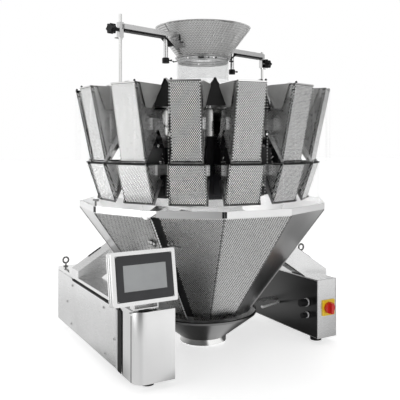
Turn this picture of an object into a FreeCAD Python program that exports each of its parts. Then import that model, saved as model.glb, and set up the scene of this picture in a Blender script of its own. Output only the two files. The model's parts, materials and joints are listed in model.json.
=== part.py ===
"""Fourteen-head combination weigher on two floor cabinets, built as separate sub-parts.

Frame: origin on the floor under the product outlet, +Z up, -Y towards the end of the cabinets
that carries the display and the isolator switch, +X towards the cabinet with the switch.
A head is modelled facing -Y and then turned about Z to its place in the ring. In a head,
"radius" is measured from the machine's axis along the head's own middle line.
"""
import FreeCAD, Part
import math
import os

V = FreeCAD.Vector
ORIGIN = V(0, 0, 0)
UP = V(0, 0, 1)
os.makedirs("parts", exist_ok=True)

# Ring of heads
HEADS = 14
HEAD_PITCH = 360.0 / HEADS
RING_TURN = 2.12
FIRST_HEAD_ANGLE = HEAD_PITCH / 2 + RING_TURN
SHEET = 2.0
PLAY = 0.3
SEAM = 0.6

# Feed hoppers, upper ring
FEED_WIDTH = 110.0
FEED_FRONT_TOP_R = 530.0
FEED_FRONT_FOOT_R = 471.0
FEED_TOP_Z = 1058.0
FEED_FOOT_Z = 773.0
FEED_MOUTH_R = 411.0
FEED_SHOULDER_Z = 966.0
FEED_BACK_R = 366.0
FEED_GATE_REACH = 110.0
FEED_GATE_SLOPE = 56.5

# Weigh hoppers, lower ring
WEIGH_WIDTH = 135.0
WEIGH_FRONT_TOP_R = 484.0
WEIGH_FRONT_FOOT_R = 436.0
WEIGH_TOP_Z = 767.0
WEIGH_FOOT_Z = 620.0
WEIGH_MOUTH_R = 409.0
WEIGH_SHOULDER_Z = 742.0
WEIGH_BACK_R = 393.0
WEIGH_GATE_REACH = 84.0
WEIGH_GATE_SLOPE = 62.0

# Folded edges, gates and hangers of both hopper kinds
EDGE_FOLD = 11.0
GATE_SHEET = 2.5
GATE_GAP = 1.0
GATE_SIDE_PLAY = 1.0
GATE_END = 5.0
GATE_FLANGE = 22.0
GATE_TIP = 3.0
PIN_R = 5.0
PIN_OFFSET = 9.0
PIN_PLAY = 0.3
LUG_R = 12.0
LUG_CORNER = 60.0
HANGER_FLANGE = 10.0
HANGER_PIN_R = 8.0
FEED_HANGER = ((437.0, 932.0), (437.0, 890.0), (385.0, 890.0), (352.0, 824.0),
               (316.0, 824.0), (316.0, 850.0), (352.0, 880.0), (365.0, 932.0))
FEED_HANGER_PIN = (328.0, 837.0)
WEIGH_HANGER = ((425.0, 762.0), (425.0, 724.0), (316.0, 724.0), (316.0, 762.0))
WEIGH_HANGER_PIN = (328.0, 743.0)

# Central column
DRUM_FLAT_R = 262.0
DRUM_BOTTOM_Z = 624.0
DRUM_TOP_Z = 868.0
HOUSING_R = 265.0
HOUSING_TOP_Z = 976.0
DRIVE_OUT_R = 343.0
DRIVE_WIDTH = 92.0
DRIVE_LOW_Z = 642.0
DRIVE_HIGH_Z = 858.0
DRIVE_COVER = 6.0
DRIVE_COVER_INSET = 8.0
SHAFT_R = 9.0
SHAFT_LENGTH = 14.0
CRANK_Z = (690.0, 838.0)
CRANK_R = 18.0
CRANK_THICK = 7.0
CRANK_ARM = 28.0
CRANK_ARM_HALF = 6.0
ROLLER_R = 7.0

# Feeder pans and dispersion cone
PAN_BOTTOM_Z = 980.0
PAN_OUT_R = 403.0
PAN_IN_R = 165.0
PAN_OUT_HALF_WIDTH = 45.0
PAN_IN_HALF_WIDTH = 16.0
PAN_OUT_TOP_Z = 1078.0
PAN_IN_TOP_Z = 1012.0
PAN_GAP = 3.0
PAN_MOUNT_IN_R = 180.0
PAN_MOUNT_OUT_R = 250.0
PAN_MOUNT_HALF_WIDTH = 14.0
PAN_NOTCH_PLAY = 3.0
CONE_RIM_R = 185.0
CONE_RIM_Z = 1030.0
CONE_TIP_Z = 1085.0
CONE_HUB_R = 40.0
CONE_MOTOR_R = 60.0
CONE_MOTOR_TOP_Z = 1000.0

# Infeed funnel, clear ring, posts and arms
FUNNEL_TOP_R = 204.0
FUNNEL_TOP_Z = 1332.0
FUNNEL_NECK_R = 107.5
FUNNEL_NECK_Z = 1207.0
FUNNEL_SHEET = 2.0
FUNNEL_COLLAR = 24.0
FUNNEL_FLANGE_R = 119.0
FUNNEL_FLANGE = 3.0
RING_WALL = 4.0
RING_PLAY = 0.5
RING_BOTTOM_Z = 1110.0

# Left and right funnel support; arm, tube and knob heights count from the clamp's underside
POST_ANGLES = (RING_TURN - 3 * HEAD_PITCH, RING_TURN + 4 * HEAD_PITCH)
POST_RING_R = (438.0, 394.0)
POST_TOP_Z = (1328.0, 1275.0)
CLAMP_LOW_Z = (1239.0, 1201.0)
CLAMP_HEIGHT = (58.0, 64.0)
CLAMP_KNOB_LIFT = (29.0, 22.0)
ARM_LIFT = (33.0, 46.0)
ARM_TUBE_DROP = (52.0, 26.0)
ARM_TUBE_RING_R = (211.0, 184.0)
POST_R = 6.0
POST_FOOT_Z = 905.0
POST_BRACKET = 30.0
POST_BRACKET_THICK = 12.0
CLAMP_WIDTH = 19.0
CLAMP_PLAY = 0.1
ARM_HEIGHT = 19.0
ARM_WIDTH = 34.0
ARM_SLOT = 12.0
ARM_SLOT_INSET = 30.0
ARM_TUBE_R = 9.0
ARM_TUBE_INSET = 12.0
BRACKET_THICK = 5.0
BRACKET_WIDTH = 60.0
BRACKET_DROP = 36.0
KNOB_R = 20.0
KNOB_LENGTH = 22.0
KNOB_STEM_R = 7.0
KNOB_STEM = 20.0
KNOB_LOBES = 6
KNOB_HUB_SHARE = 0.8
KNOB_LOBE_SHARE = 0.28
TUBE_KNOB_R = 14.5
TUBE_KNOB_LENGTH = 22.0

# Collecting chute of flat panels
PANELS = 12
PANEL_PITCH = 360.0 / PANELS
FIRST_SEAM_ANGLE = -21.4
CHUTE_TOP_CORNER_R = 519.0
CHUTE_TOP_Z = 581.0
CHUTE_FOOT_CORNER_R = 197.0
CHUTE_FOOT_Z = 139.0
CHUTE_FLANGE = 24.0
CHUTE_SHEET = 3.0
SLOT_SEAMS = (5, 11)
SLOT_START = 8.0
SLOT_END = 38.0
FLANGE_END = -31.0
FLANGE_START = 28.0
LEG_CLEARANCE = 10.0
SADDLE_WIDTH = 40.0
SADDLE_OUT = 18.0
SADDLE_IN = 14.0
SADDLE_LAP = 8.0
SADDLE_STEPS = 30
GUSSET_BACK = 3.0
GUSSET_THICK = 7.0
GUSSET_OUTLINE = ((-34.0, 24.0), (-34.0, 11.0), (-19.0, -4.0), (-13.0, -7.0), (-6.0, -7.0),
                  (0.0, -4.0), (31.0, 15.0), (31.0, 24.0))

# Discharge funnel and outlet collar
DISCHARGE_RIM_R = 227.0
DISCHARGE_RIM_Z = 139.0
DISCHARGE_RIM = 12.0
DISCHARGE_SHEET = 2.0
COLLAR_R = 98.5
COLLAR_SHEET = 3.0
COLLAR_TOP_Z = 29.0
COLLAR_BOTTOM_Z = 6.0
STAY_HALF_WIDTH = 20.0
STAY_THICK = 8.0

# Cabinets, feet and legs; a leg's Y is that of its middle line at the cabinet's outer side
BASE_BOTTOM_Z = 26.5
BASE_TOP_Z = 271.0
BASE_HALF_WIDTH = 476.0
LEFT_WIDTH = 147.0
LEFT_FRONT_Y = -384.0
LEFT_BACK_Y = 528.0
RIGHT_WIDTH = 98.0
RIGHT_FRONT_Y = -302.0
RIGHT_BACK_Y = 435.0
COLUMN_R = 40.0
COLUMN_LENGTH = 122.0
RECESS_DEPTH = 10.0
RECESS_TOP_Z = 256.0
COVER_THICK = 8.0
COVER_STAND = 4.0
COVER_GAP = 6.0
COVER_FRONT_GAP = 16.0
COVER_TOP_Z = 249.0
COVER_BACK_TOP_Z = 255.5
COVER_STEP_Y = 309.0
SPACER_R = 8.0
SPACER_INSET = 40.0
FOOT_R = 24.0
FOOT_STEM_R = 9.0
FOOT_PAD = 14.0
FOOT_INSET = 70.0
LEG_ANGLE = 37.0
LEG_YAW = 19.2
LEG_INNER_X = 385.0
LEG_SHOULDER_Z = 300.0
LEG_THICK = 85.0
FRONT_LEG_Y = -199.0
BACK_LEG_Y = 273.0
CORE_HALF_X = 120.0
CORE_Y = (-125.0, 200.0)
CORE_BOTTOM_Z = 440.0
CORE_TOP_Z = 592.0
CORE_NECK_R = 240.0

# Small parts of the base
EYE_R = 13.0
EYE_BAR_R = 4.0
EYE_STEM = 16.0
EYE_COLLAR_R = 11.0
LEG_EYE_X = 396.0
PLATE_SIZE = 66.0
PLATE_THICK = 4.0
PLATE_CENTRE_X = 434.0
PLATE_CENTRE_Z = 152.0
SWITCH_R = 24.0
SWITCH_LENGTH = 26.0
SWITCH_GRIP = 12.0
SOCKET_SPOTS = ((-238.0, 167.0, 15.0, 42.0), (-240.0, 114.0, 11.0, 34.0))
SOCKET_FLANGE = 5.0
SOCKET_LIP = 3.0

# Display in a yoke on its swivel neck
DISPLAY_WIDTH = 237.0
DISPLAY_HEIGHT = 180.0
DISPLAY_DEPTH = 46.0
DISPLAY_TILT = 10.0
DISPLAY_X = -431.5
DISPLAY_FRONT_Y = -376.0
DISPLAY_BOTTOM_Z = 297.0
DISPLAY_CORNER_R = 6.0
NECK_R = 14.0
YOKE_HALF_WIDTH = 46.0
YOKE_HALF_DEPTH = 16.0
YOKE_THICK = 4.0
YOKE_Z = 278.0
YOKE_LAP = 3.0
BEZEL_BORDER = 15.0
BEZEL_THICK = 3.0
BEZEL_CORNER_R = 8.0
SCREEN_BORDER_X = 24.0
SCREEN_BORDER_Z = 31.0
SCREEN_RECESS = 1.0


def save(name, solids):
    """Write one sub-part; like pieces that do not touch go into one file."""
    shape = solids[0] if len(solids) == 1 else Part.makeCompound(solids)
    shape.exportStep(os.path.join("parts", name + ".step"))


def turned(shape, angle):
    """Copy of a shape turned about the machine's axis."""
    copy = shape.copy()
    copy.rotate(ORIGIN, UP, angle)
    return copy


def head_angles():
    return [FIRST_HEAD_ANGLE + HEAD_PITCH * k for k in range(HEADS)]


def all_heads(shapes):
    """The given head pieces at every place of the ring."""
    return [turned(shape, angle) for angle in head_angles() for shape in shapes]


def mirrored(shape):
    return shape.mirror(ORIGIN, V(1, 0, 0))


def slab(points, x_low, x_high):
    """Prism across a head, from an outline of (radius, height) points."""
    corners = [V(x_low, -radius, height) for radius, height in points]
    face = Part.Face(Part.makePolygon(corners + corners[:1]))
    return face.extrude(V(x_high - x_low, 0, 0))


def box(x, y, z):
    """Block between pairs of low and high coordinates."""
    return Part.makeBox(x[1] - x[0], y[1] - y[0], z[1] - z[0], V(x[0], y[0], z[0]))


def rod(radius, start, end):
    return Part.makeCylinder(radius, (end - start).Length, start, end - start)


def turned_profile(points):
    """Solid of revolution about Z, from (radius, height) points."""
    corners = [V(radius, 0, height) for radius, height in points]
    face = Part.Face(Part.makePolygon(corners + corners[:1]))
    return face.revolve(ORIGIN, UP, 360)


class Hopper:
    """Side view of one hopper: its leaning front, open back and slanted, gated underside."""

    def __init__(self, width, front_top, front_foot, mouth_r, shoulder_z, back_r, slope, reach):
        self.half = width / 2
        self.top = front_top
        self.foot = front_foot
        self.mouth_r = mouth_r
        self.shoulder_z = shoulder_z
        self.back_r = back_r
        self.slope = math.radians(slope)
        self.reach = reach
        self.lean = math.atan2(front_top[0] - front_foot[0], front_top[1] - front_foot[1])

    def under(self, along, above=0.0):
        """Point by its distance up the slanted underside and its height square to it."""
        radius = self.foot[0] - along * math.cos(self.slope) + above * math.sin(self.slope)
        height = self.foot[1] + along * math.sin(self.slope) + above * math.cos(self.slope)
        return radius, height

    def back_foot(self):
        return self.under((self.foot[0] - self.back_r) / math.cos(self.slope))

    def pin(self):
        return self.under(self.reach, PIN_OFFSET)

    def front(self):
        """Front plate with its two side edges folded back over the side plates."""
        back = SHEET / math.cos(self.lean)
        fold = EDGE_FOLD / math.cos(self.lean)
        plate_foot = (self.foot[0] - back, self.foot[1] + back * math.tan(self.slope))
        plate = slab([self.top, self.foot, plate_foot, (self.top[0] - back, self.top[1])],
                     -self.half, self.half)
        lift = fold * math.tan(self.slope)
        edge = slab([self.top, self.foot, (self.foot[0] - fold, self.foot[1] + lift),
                     (self.top[0] - fold, self.top[1])], -self.half, -self.half + SHEET)
        return plate.fuse([edge, mirrored(edge)]).removeSplitter()

    def side(self):
        """Flat side plate with the hole for the gate's pin; the other one mirrors it."""
        back = SHEET / math.cos(self.lean)
        outer = -self.half + SHEET
        lift = back * math.tan(self.slope)
        outline = [(self.top[0] - back, self.top[1]), (self.foot[0] - back, self.foot[1] + lift),
                   self.back_foot(), (self.back_r, self.shoulder_z),
                   (self.mouth_r, self.shoulder_z), (self.mouth_r, self.top[1])]
        plate = slab(outline, outer, outer + SHEET)
        radius, height = self.pin()
        hole = rod(PIN_R + PIN_PLAY, V(outer - SHEET, -radius, height),
                   V(outer + 2 * SHEET, -radius, height))
        return plate.cut(hole)

    def back(self):
        """Back plate between the sides, from the shoulder down to the gate's upper end."""
        inner = self.half - 2 * SHEET
        end = self.reach - GATE_END + SEAM
        outline = [(self.back_r, self.shoulder_z), self.back_foot(), self.under(end),
                   self.under(end, SHEET),
                   (self.back_r + SHEET, self.back_foot()[1] + SHEET * math.tan(self.slope)),
                   (self.back_r + SHEET, self.shoulder_z)]
        return slab(outline, -inner, inner)

    def gate(self):
        """Channel-shaped gate under the slanted opening, with a pin stub in each side plate."""
        flange_in = self.half + GATE_SIDE_PLAY
        flange_out = flange_in + GATE_SHEET
        low = -GATE_GAP - GATE_SHEET
        end = self.reach - GATE_END
        lug_top = PIN_OFFSET + LUG_R * math.sin(math.radians(LUG_CORNER))
        plate = slab([self.under(-GATE_TIP, low), self.under(end, low),
                      self.under(end, -GATE_GAP), self.under(-GATE_TIP, -GATE_GAP)],
                     -flange_out, flange_out)
        flange = slab([self.under(-GATE_TIP, low), self.under(self.reach + LUG_R, low),
                       self.under(self.reach + LUG_R, PIN_OFFSET),
                       self.under(self.reach + LUG_R / 2, lug_top),
                       self.under(self.reach - LUG_R / 2, lug_top),
                       self.under(self.reach / 2, GATE_FLANGE / 2),
                       self.under(-GATE_TIP, GATE_FLANGE / 4)], -flange_out, -flange_in)
        radius, height = self.pin()
        stub = rod(PIN_R, V(-flange_out, -radius, height),
                   V(-self.half + 2 * SHEET, -radius, height))
        pieces = [flange, mirrored(flange), stub, mirrored(stub)]
        return plate.fuse(pieces).removeSplitter()

    def hanger(self, outline, pin_spot):
        """Leaf on a side plate with an outer flange and a pin that rests on the drive unit."""
        plate_out = -self.half + SHEET
        leaf = slab(outline, plate_out - SHEET, plate_out)
        (outer_r, high_z), (_, low_z) = outline[:2]
        flange = slab([(outer_r - SHEET, low_z), (outer_r, low_z),
                       (outer_r, high_z), (outer_r - SHEET, high_z)],
                      plate_out - HANGER_FLANGE, plate_out)
        radius, height = pin_spot
        pin = rod(HANGER_PIN_R, V(plate_out - SHEET, -radius, height),
                  V(-DRIVE_WIDTH / 2, -radius, height))
        return leaf.fuse([flange, pin]).removeSplitter()


FEED = Hopper(FEED_WIDTH, (FEED_FRONT_TOP_R, FEED_TOP_Z), (FEED_FRONT_FOOT_R, FEED_FOOT_Z),
              FEED_MOUTH_R, FEED_SHOULDER_Z, FEED_BACK_R, FEED_GATE_SLOPE, FEED_GATE_REACH)
WEIGH = Hopper(WEIGH_WIDTH, (WEIGH_FRONT_TOP_R, WEIGH_TOP_Z), (WEIGH_FRONT_FOOT_R, WEIGH_FOOT_Z),
               WEIGH_MOUTH_R, WEIGH_SHOULDER_Z, WEIGH_BACK_R, WEIGH_GATE_SLOPE, WEIGH_GATE_REACH)


def build_hoppers():
    for name, hopper in (("feed", FEED), ("weigh", WEIGH)):
        save(name + "_hopper_fronts", all_heads([hopper.front()]))
        save(name + "_hopper_sides", all_heads([hopper.side(), mirrored(hopper.side())]))
        gate = hopper.gate()
        for number, angle in enumerate(head_angles(), 1):
            save("%s_gate_%02d" % (name, number), [turned(gate, angle)])
    save("hopper_backs", all_heads([FEED.back(), WEIGH.back()]))


def build_hangers():
    """Side leaves that hold each head's two hoppers on the sides of its drive unit."""
    feed = FEED.hanger(FEED_HANGER, FEED_HANGER_PIN)
    weigh = WEIGH.hanger(WEIGH_HANGER, WEIGH_HANGER_PIN)
    save("hopper_hangers", all_heads([feed, mirrored(feed), weigh, mirrored(weigh)]))


def build_column():
    """Black drum with flat sides, smooth housing above it and one drive unit a head."""
    corner_r = DRUM_FLAT_R / math.cos(math.pi / HEADS)
    turns = [math.radians(RING_TURN + HEAD_PITCH * k) for k in range(HEADS + 1)]
    corners = [V(corner_r * math.sin(turn), -corner_r * math.cos(turn), DRUM_BOTTOM_Z)
               for turn in turns]
    save("drum", [Part.Face(Part.makePolygon(corners)).extrude(V(0, 0, DRUM_TOP_Z - DRUM_BOTTOM_Z))])

    housing = rod(HOUSING_R, V(0, 0, DRUM_TOP_Z), V(0, 0, HOUSING_TOP_Z))
    motor = rod(CONE_MOTOR_R, V(0, 0, HOUSING_TOP_Z - SHEET), V(0, 0, CONE_MOTOR_TOP_Z))
    mount = box((-PAN_MOUNT_HALF_WIDTH, PAN_MOUNT_HALF_WIDTH), (-PAN_MOUNT_OUT_R, -PAN_MOUNT_IN_R),
                (HOUSING_TOP_Z - SHEET, PAN_BOTTOM_Z))
    save("vibrator_housing", [housing.fuse([motor] + all_heads([mount])).removeSplitter()])

    half = DRIVE_WIDTH / 2
    inset = DRIVE_COVER_INSET
    body = box((-half, half), (-DRIVE_OUT_R + DRIVE_COVER, -DRUM_FLAT_R), (DRIVE_LOW_Z, DRIVE_HIGH_Z))
    cover = box((-half + inset, half - inset), (-DRIVE_OUT_R, -DRIVE_OUT_R + DRIVE_COVER),
                (DRIVE_LOW_Z + inset, DRIVE_HIGH_Z - inset))
    shafts = [rod(SHAFT_R, V(side * (half - 3 * SHAFT_R / 2), -DRIVE_OUT_R + DRIVE_COVER, height),
                  V(side * (half - 3 * SHAFT_R / 2), -DRIVE_OUT_R - SHAFT_LENGTH, height))
              for side in (-1, 1) for height in (DRIVE_LOW_Z + 5 * SHAFT_R, DRIVE_HIGH_Z - 3 * SHAFT_R)]
    cranks = [piece for height in CRANK_Z for piece in crank(height)]
    save("drive_units", all_heads([body.fuse([cover] + shafts + cranks).removeSplitter()]))


def crank(height):
    """Disc, arm and roller on a drive unit's front that push one hopper's gate."""
    front = -DRIVE_OUT_R
    disc = rod(CRANK_R, V(0, front, height), V(0, front - CRANK_THICK, height))
    lever = box((-CRANK_ARM_HALF, CRANK_ARM_HALF), (front - 2 * CRANK_THICK, front - CRANK_THICK),
                (height - CRANK_ARM_HALF, height + CRANK_ARM))
    roller = rod(ROLLER_R, V(0, front - CRANK_THICK, height + CRANK_ARM),
                 V(0, front - 3 * CRANK_THICK, height + CRANK_ARM))
    return [disc, lever, roller]


def pan_section(radius, half_width, top_z):
    """Trough outline at one radius: flat bottom and walls flared to the next pan's walls."""
    top = radius * math.tan(math.radians(HEAD_PITCH / 2)) - PAN_GAP / 2
    outline = [(-top, top_z), (-half_width, PAN_BOTTOM_Z), (half_width, PAN_BOTTOM_Z), (top, top_z),
               (top - SHEET, top_z), (half_width - SHEET, PAN_BOTTOM_Z + SHEET),
               (-half_width + SHEET, PAN_BOTTOM_Z + SHEET), (-top + SHEET, top_z)]
    corners = [V(x, -radius, z) for x, z in outline]
    return Part.makePolygon(corners + corners[:1])


def build_pans():
    outer = pan_section(PAN_OUT_R, PAN_OUT_HALF_WIDTH, PAN_OUT_TOP_Z)
    inner = pan_section(PAN_IN_R, PAN_IN_HALF_WIDTH, PAN_IN_TOP_Z)
    notches = [turned(rod(POST_R + PAN_NOTCH_PLAY, V(0, -ring_r, PAN_BOTTOM_Z),
                          V(0, -ring_r, PAN_OUT_TOP_Z + SHEET)), angle)
               for ring_r, angle in zip(POST_RING_R, POST_ANGLES)]
    pans = all_heads([Part.makeLoft([outer, inner], True, True)])
    save("feeder_pans", [pan.cut(notches) for pan in pans])

    slope = (CONE_TIP_Z - CONE_RIM_Z) / CONE_RIM_R
    under_hub = CONE_TIP_Z - SHEET - slope * CONE_HUB_R
    save("dispersion_cone", [turned_profile(
        [(0, CONE_TIP_Z), (CONE_RIM_R, CONE_RIM_Z), (CONE_RIM_R, CONE_RIM_Z - SHEET),
         (CONE_HUB_R, under_hub), (CONE_HUB_R, CONE_MOTOR_TOP_Z), (0, CONE_MOTOR_TOP_Z)])])


def funnel_radius(height):
    """Outside radius of the infeed funnel at a height."""
    share = (height - FUNNEL_NECK_Z) / (FUNNEL_TOP_Z - FUNNEL_NECK_Z)
    return FUNNEL_NECK_R + share * (FUNNEL_TOP_R - FUNNEL_NECK_R)


def knob(radius, length, base, direction):
    """Lobed hand knob on a stem, standing out from base along direction."""
    start = base + direction * KNOB_STEM
    end = start + direction * length
    hub = rod(radius * KNOB_HUB_SHARE, start, end)
    stem = rod(KNOB_STEM_R, base, start)
    side = direction.cross(UP)
    lobe_r = radius * KNOB_LOBE_SHARE
    lobes = []
    for k in range(KNOB_LOBES):
        turn = 2 * math.pi * k / KNOB_LOBES
        shift = (side * math.cos(turn) + UP * math.sin(turn)) * (radius - lobe_r)
        lobes.append(rod(lobe_r, start + shift, end + shift))
    return hub.fuse([stem] + lobes).removeSplitter()


def build_infeed():
    lip = FUNNEL_SHEET
    save("infeed_funnel", [turned_profile(
        [(FUNNEL_TOP_R, FUNNEL_TOP_Z), (FUNNEL_NECK_R, FUNNEL_NECK_Z),
         (FUNNEL_FLANGE_R, FUNNEL_NECK_Z), (FUNNEL_FLANGE_R, FUNNEL_NECK_Z - FUNNEL_FLANGE),
         (FUNNEL_NECK_R, FUNNEL_NECK_Z - FUNNEL_FLANGE),
         (FUNNEL_NECK_R, FUNNEL_NECK_Z - FUNNEL_COLLAR),
         (FUNNEL_NECK_R - lip, FUNNEL_NECK_Z - FUNNEL_COLLAR), (FUNNEL_NECK_R - lip, FUNNEL_NECK_Z),
         (FUNNEL_TOP_R - lip, FUNNEL_TOP_Z)])])

    ring_in = FUNNEL_NECK_R + RING_PLAY
    save("infeed_ring", [turned_profile(
        [(ring_in, RING_BOTTOM_Z), (ring_in + RING_WALL, RING_BOTTOM_Z),
         (ring_in + RING_WALL, FUNNEL_NECK_Z - FUNNEL_FLANGE),
         (ring_in, FUNNEL_NECK_Z - FUNNEL_FLANGE)])])

    posts = []
    arms = []
    knobs = []
    for side, angle in enumerate(POST_ANGLES):
        posts.append(turned(post(side), angle))
        arms.append(turned(arm(side), angle))
        knobs.extend(turned(piece, angle) for piece in arm_knobs(side))
    save("funnel_posts", posts)
    save("funnel_arms", arms)
    save("clamp_knobs", knobs)


def post(side):
    """Round post on a bar that reaches out from the housing between two feed hoppers."""
    ring_r = POST_RING_R[side]
    stem = rod(POST_R, V(0, -ring_r, POST_FOOT_Z), V(0, -ring_r, POST_TOP_Z[side]))
    half = POST_BRACKET / 2
    bar = box((-half, half), (-ring_r - half, 0), (POST_FOOT_Z, POST_FOOT_Z + POST_BRACKET_THICK))
    bar = bar.cut(rod(HOUSING_R, V(0, 0, DRUM_TOP_Z), V(0, 0, HOUSING_TOP_Z)))
    return stem.fuse(bar).removeSplitter()


def arm(side):
    """Clamp block, slotted bar, funnel bracket and the upright handle tube, as one weldment."""
    ring_r = POST_RING_R[side]
    tube_r = ARM_TUBE_RING_R[side]
    in_r = tube_r - ARM_TUBE_INSET
    clamp_z = CLAMP_LOW_Z[side]
    low_z = clamp_z + ARM_LIFT[side]
    high_z = low_z + ARM_HEIGHT
    half = CLAMP_WIDTH / 2
    arm_half = ARM_WIDTH / 2
    block = box((-half, half), (-ring_r - half, -ring_r + half),
                (clamp_z, clamp_z + CLAMP_HEIGHT[side]))
    bar = box((-arm_half, arm_half), (-ring_r + half - SHEET, -in_r), (low_z, high_z))
    slot = box((-ARM_SLOT / 2, ARM_SLOT / 2), (-ring_r + ARM_SLOT_INSET, -in_r - ARM_SLOT_INSET),
               (low_z - SHEET, high_z + SHEET))
    tube = rod(ARM_TUBE_R, V(0, -tube_r, clamp_z - ARM_TUBE_DROP[side]), V(0, -tube_r, low_z + SHEET))
    foot_r = funnel_radius(low_z - BRACKET_DROP)
    head_r = funnel_radius(high_z)
    bracket = slab([(foot_r, low_z - BRACKET_DROP), (foot_r + BRACKET_THICK, low_z - BRACKET_DROP),
                    (head_r + BRACKET_THICK, high_z), (head_r, high_z)],
                   -BRACKET_WIDTH / 2, BRACKET_WIDTH / 2)
    reach = slab([(head_r, low_z), (in_r + SHEET, low_z), (in_r + SHEET, high_z), (head_r, high_z)],
                 -arm_half, arm_half)
    cone = Part.makeCone(FUNNEL_NECK_R, FUNNEL_TOP_R, FUNNEL_TOP_Z - FUNNEL_NECK_Z,
                         V(0, 0, FUNNEL_NECK_Z))
    bore = rod(POST_R + CLAMP_PLAY, V(0, -ring_r, clamp_z - SHEET),
               V(0, -ring_r, clamp_z + CLAMP_HEIGHT[side] + SHEET))
    whole = block.fuse([bar.cut(slot), tube, bracket, reach])
    return whole.cut(cone).cut(bore).removeSplitter()


def arm_knobs(side):
    """Clamp knob on the block's outer face and the knob under the handle tube."""
    clamp_z = CLAMP_LOW_Z[side]
    base = V(0, -POST_RING_R[side] - CLAMP_WIDTH / 2, clamp_z + CLAMP_KNOB_LIFT[side])
    clamp = knob(KNOB_R, KNOB_LENGTH, base, V(0, -1, 0))
    top = V(0, -ARM_TUBE_RING_R[side], clamp_z - ARM_TUBE_DROP[side])
    under = rod(TUBE_KNOB_R, top - UP * TUBE_KNOB_LENGTH, top)
    rounded = under.makeFillet(TUBE_KNOB_R / 3, under.Edges[:1])
    return [clamp, rounded]


def leg_profile(grow=0.0):
    """Outline of a leg in the X-Z plane, from the cabinet top up to the core."""
    slope = math.tan(math.radians(LEG_ANGLE))
    rise = grow / math.cos(math.radians(LEG_ANGLE))
    outer_x = BASE_HALF_WIDTH
    low_core = BASE_TOP_Z + (LEG_INNER_X - CORE_HALF_X) * slope
    high_core = LEG_SHOULDER_Z + (outer_x - CORE_HALF_X) * slope
    return [(LEG_INNER_X, BASE_TOP_Z - rise), (outer_x, BASE_TOP_Z - rise),
            (outer_x, LEG_SHOULDER_Z + rise), (CORE_HALF_X, high_core + rise),
            (CORE_HALF_X, low_core - rise)]


def leg_middle(x, outer_y):
    """Y of a leg's middle line, which turns towards the machine's middle as it rises."""
    inward = -math.copysign(1, outer_y)
    return outer_y + inward * (BASE_HALF_WIDTH - x) * math.tan(math.radians(LEG_YAW))


def leg(outer_y, grow=0.0):
    """The side outline of a leg, cut out of the slanting strip it covers in plan."""
    reach = 2 * BASE_HALF_WIDTH
    corners = [V(x, -reach, z) for x, z in leg_profile(grow)]
    profile = Part.Face(Part.makePolygon(corners + corners[:1])).extrude(V(0, 2 * reach, 0))
    half = (LEG_THICK / 2 + grow) / math.cos(math.radians(LEG_YAW))
    strip = [V(x, leg_middle(x, outer_y) + shift, 0)
             for x, shift in ((CORE_HALF_X, -half), (BASE_HALF_WIDTH, -half),
                              (BASE_HALF_WIDTH, half), (CORE_HALF_X, half))]
    plan = Part.Face(Part.makePolygon(strip + strip[:1])).extrude(V(0, 0, CHUTE_TOP_Z + reach))
    return profile.common(plan)


def legs(grow=0.0):
    right = [leg(FRONT_LEG_Y, grow), leg(BACK_LEG_Y, grow)]
    return right + [mirrored(piece) for piece in right]


def build_frame():
    save("support_legs", legs())
    block = box((-CORE_HALF_X, CORE_HALF_X), CORE_Y, (CORE_BOTTOM_Z, CORE_TOP_Z))
    neck = rod(CORE_NECK_R, V(0, 0, CORE_TOP_Z - SHEET), V(0, 0, DRUM_BOTTOM_Z))
    save("center_core", [block.fuse(neck).removeSplitter()])


def chute_panel(number):
    """One flat panel with its upright rim flange, between two seams of the chute."""
    flat = math.cos(math.radians(PANEL_PITCH / 2))
    top_r = CHUTE_TOP_CORNER_R * flat
    foot_r = CHUTE_FOOT_CORNER_R * flat
    lean = math.atan2(top_r - foot_r, CHUTE_TOP_Z - CHUTE_FOOT_Z)
    across = CHUTE_SHEET / math.cos(lean)
    half = CHUTE_TOP_CORNER_R
    sheet = slab([(top_r, CHUTE_TOP_Z), (foot_r, CHUTE_FOOT_Z), (foot_r - across, CHUTE_FOOT_Z),
                  (top_r - across, CHUTE_TOP_Z)], -half, half)
    flange = slab([(top_r, CHUTE_TOP_Z), (top_r - across, CHUTE_TOP_Z),
                   (top_r - CHUTE_SHEET, CHUTE_TOP_Z + CHUTE_FLANGE),
                   (top_r, CHUTE_TOP_Z + CHUTE_FLANGE)], -half, half)
    slot_left = number in SLOT_SEAMS
    slot_right = (number + 1) % PANELS in SLOT_SEAMS
    sheet_space = panel_wedge(SLOT_END if slot_left else SEAM / 2,
                              -SLOT_START if slot_right else SEAM / 2)
    flange_space = panel_wedge(FLANGE_START if slot_left else SEAM / 2,
                               -FLANGE_END if slot_right else SEAM / 2)
    angle = FIRST_SEAM_ANGLE + PANEL_PITCH * (number + 0.5)
    panel = sheet.common(sheet_space).fuse(flange.common(flange_space)).removeSplitter()
    return turned(panel, angle).cut(legs(LEG_CLEARANCE)).Solids


def panel_wedge(left_gap, right_gap):
    """Space between the two seam planes of a panel, less the gap at each seam."""
    half = math.radians(PANEL_PITCH / 2)
    reach = 2 * CHUTE_TOP_CORNER_R
    left = left_gap / math.sin(half) / 2
    right = right_gap / math.sin(half) / 2
    apex = V((left_gap - right_gap) / 2 / math.cos(half), -(left + right), 0)
    corners = [apex, apex + V(-reach * math.sin(half), -reach * math.cos(half), 0),
               apex + V(reach * math.sin(half), -reach * math.cos(half), 0), apex]
    return Part.Face(Part.makePolygon(corners)).extrude(V(0, 0, 2 * CHUTE_TOP_Z))


def chute_apothem(height):
    """Distance from the axis to the outside of a chute panel at a height."""
    share = (height - CHUTE_FOOT_Z) / (CHUTE_TOP_Z - CHUTE_FOOT_Z)
    corner_r = CHUTE_FOOT_CORNER_R + share * (CHUTE_TOP_CORNER_R - CHUTE_FOOT_CORNER_R)
    return corner_r * math.cos(math.radians(PANEL_PITCH / 2))


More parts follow.
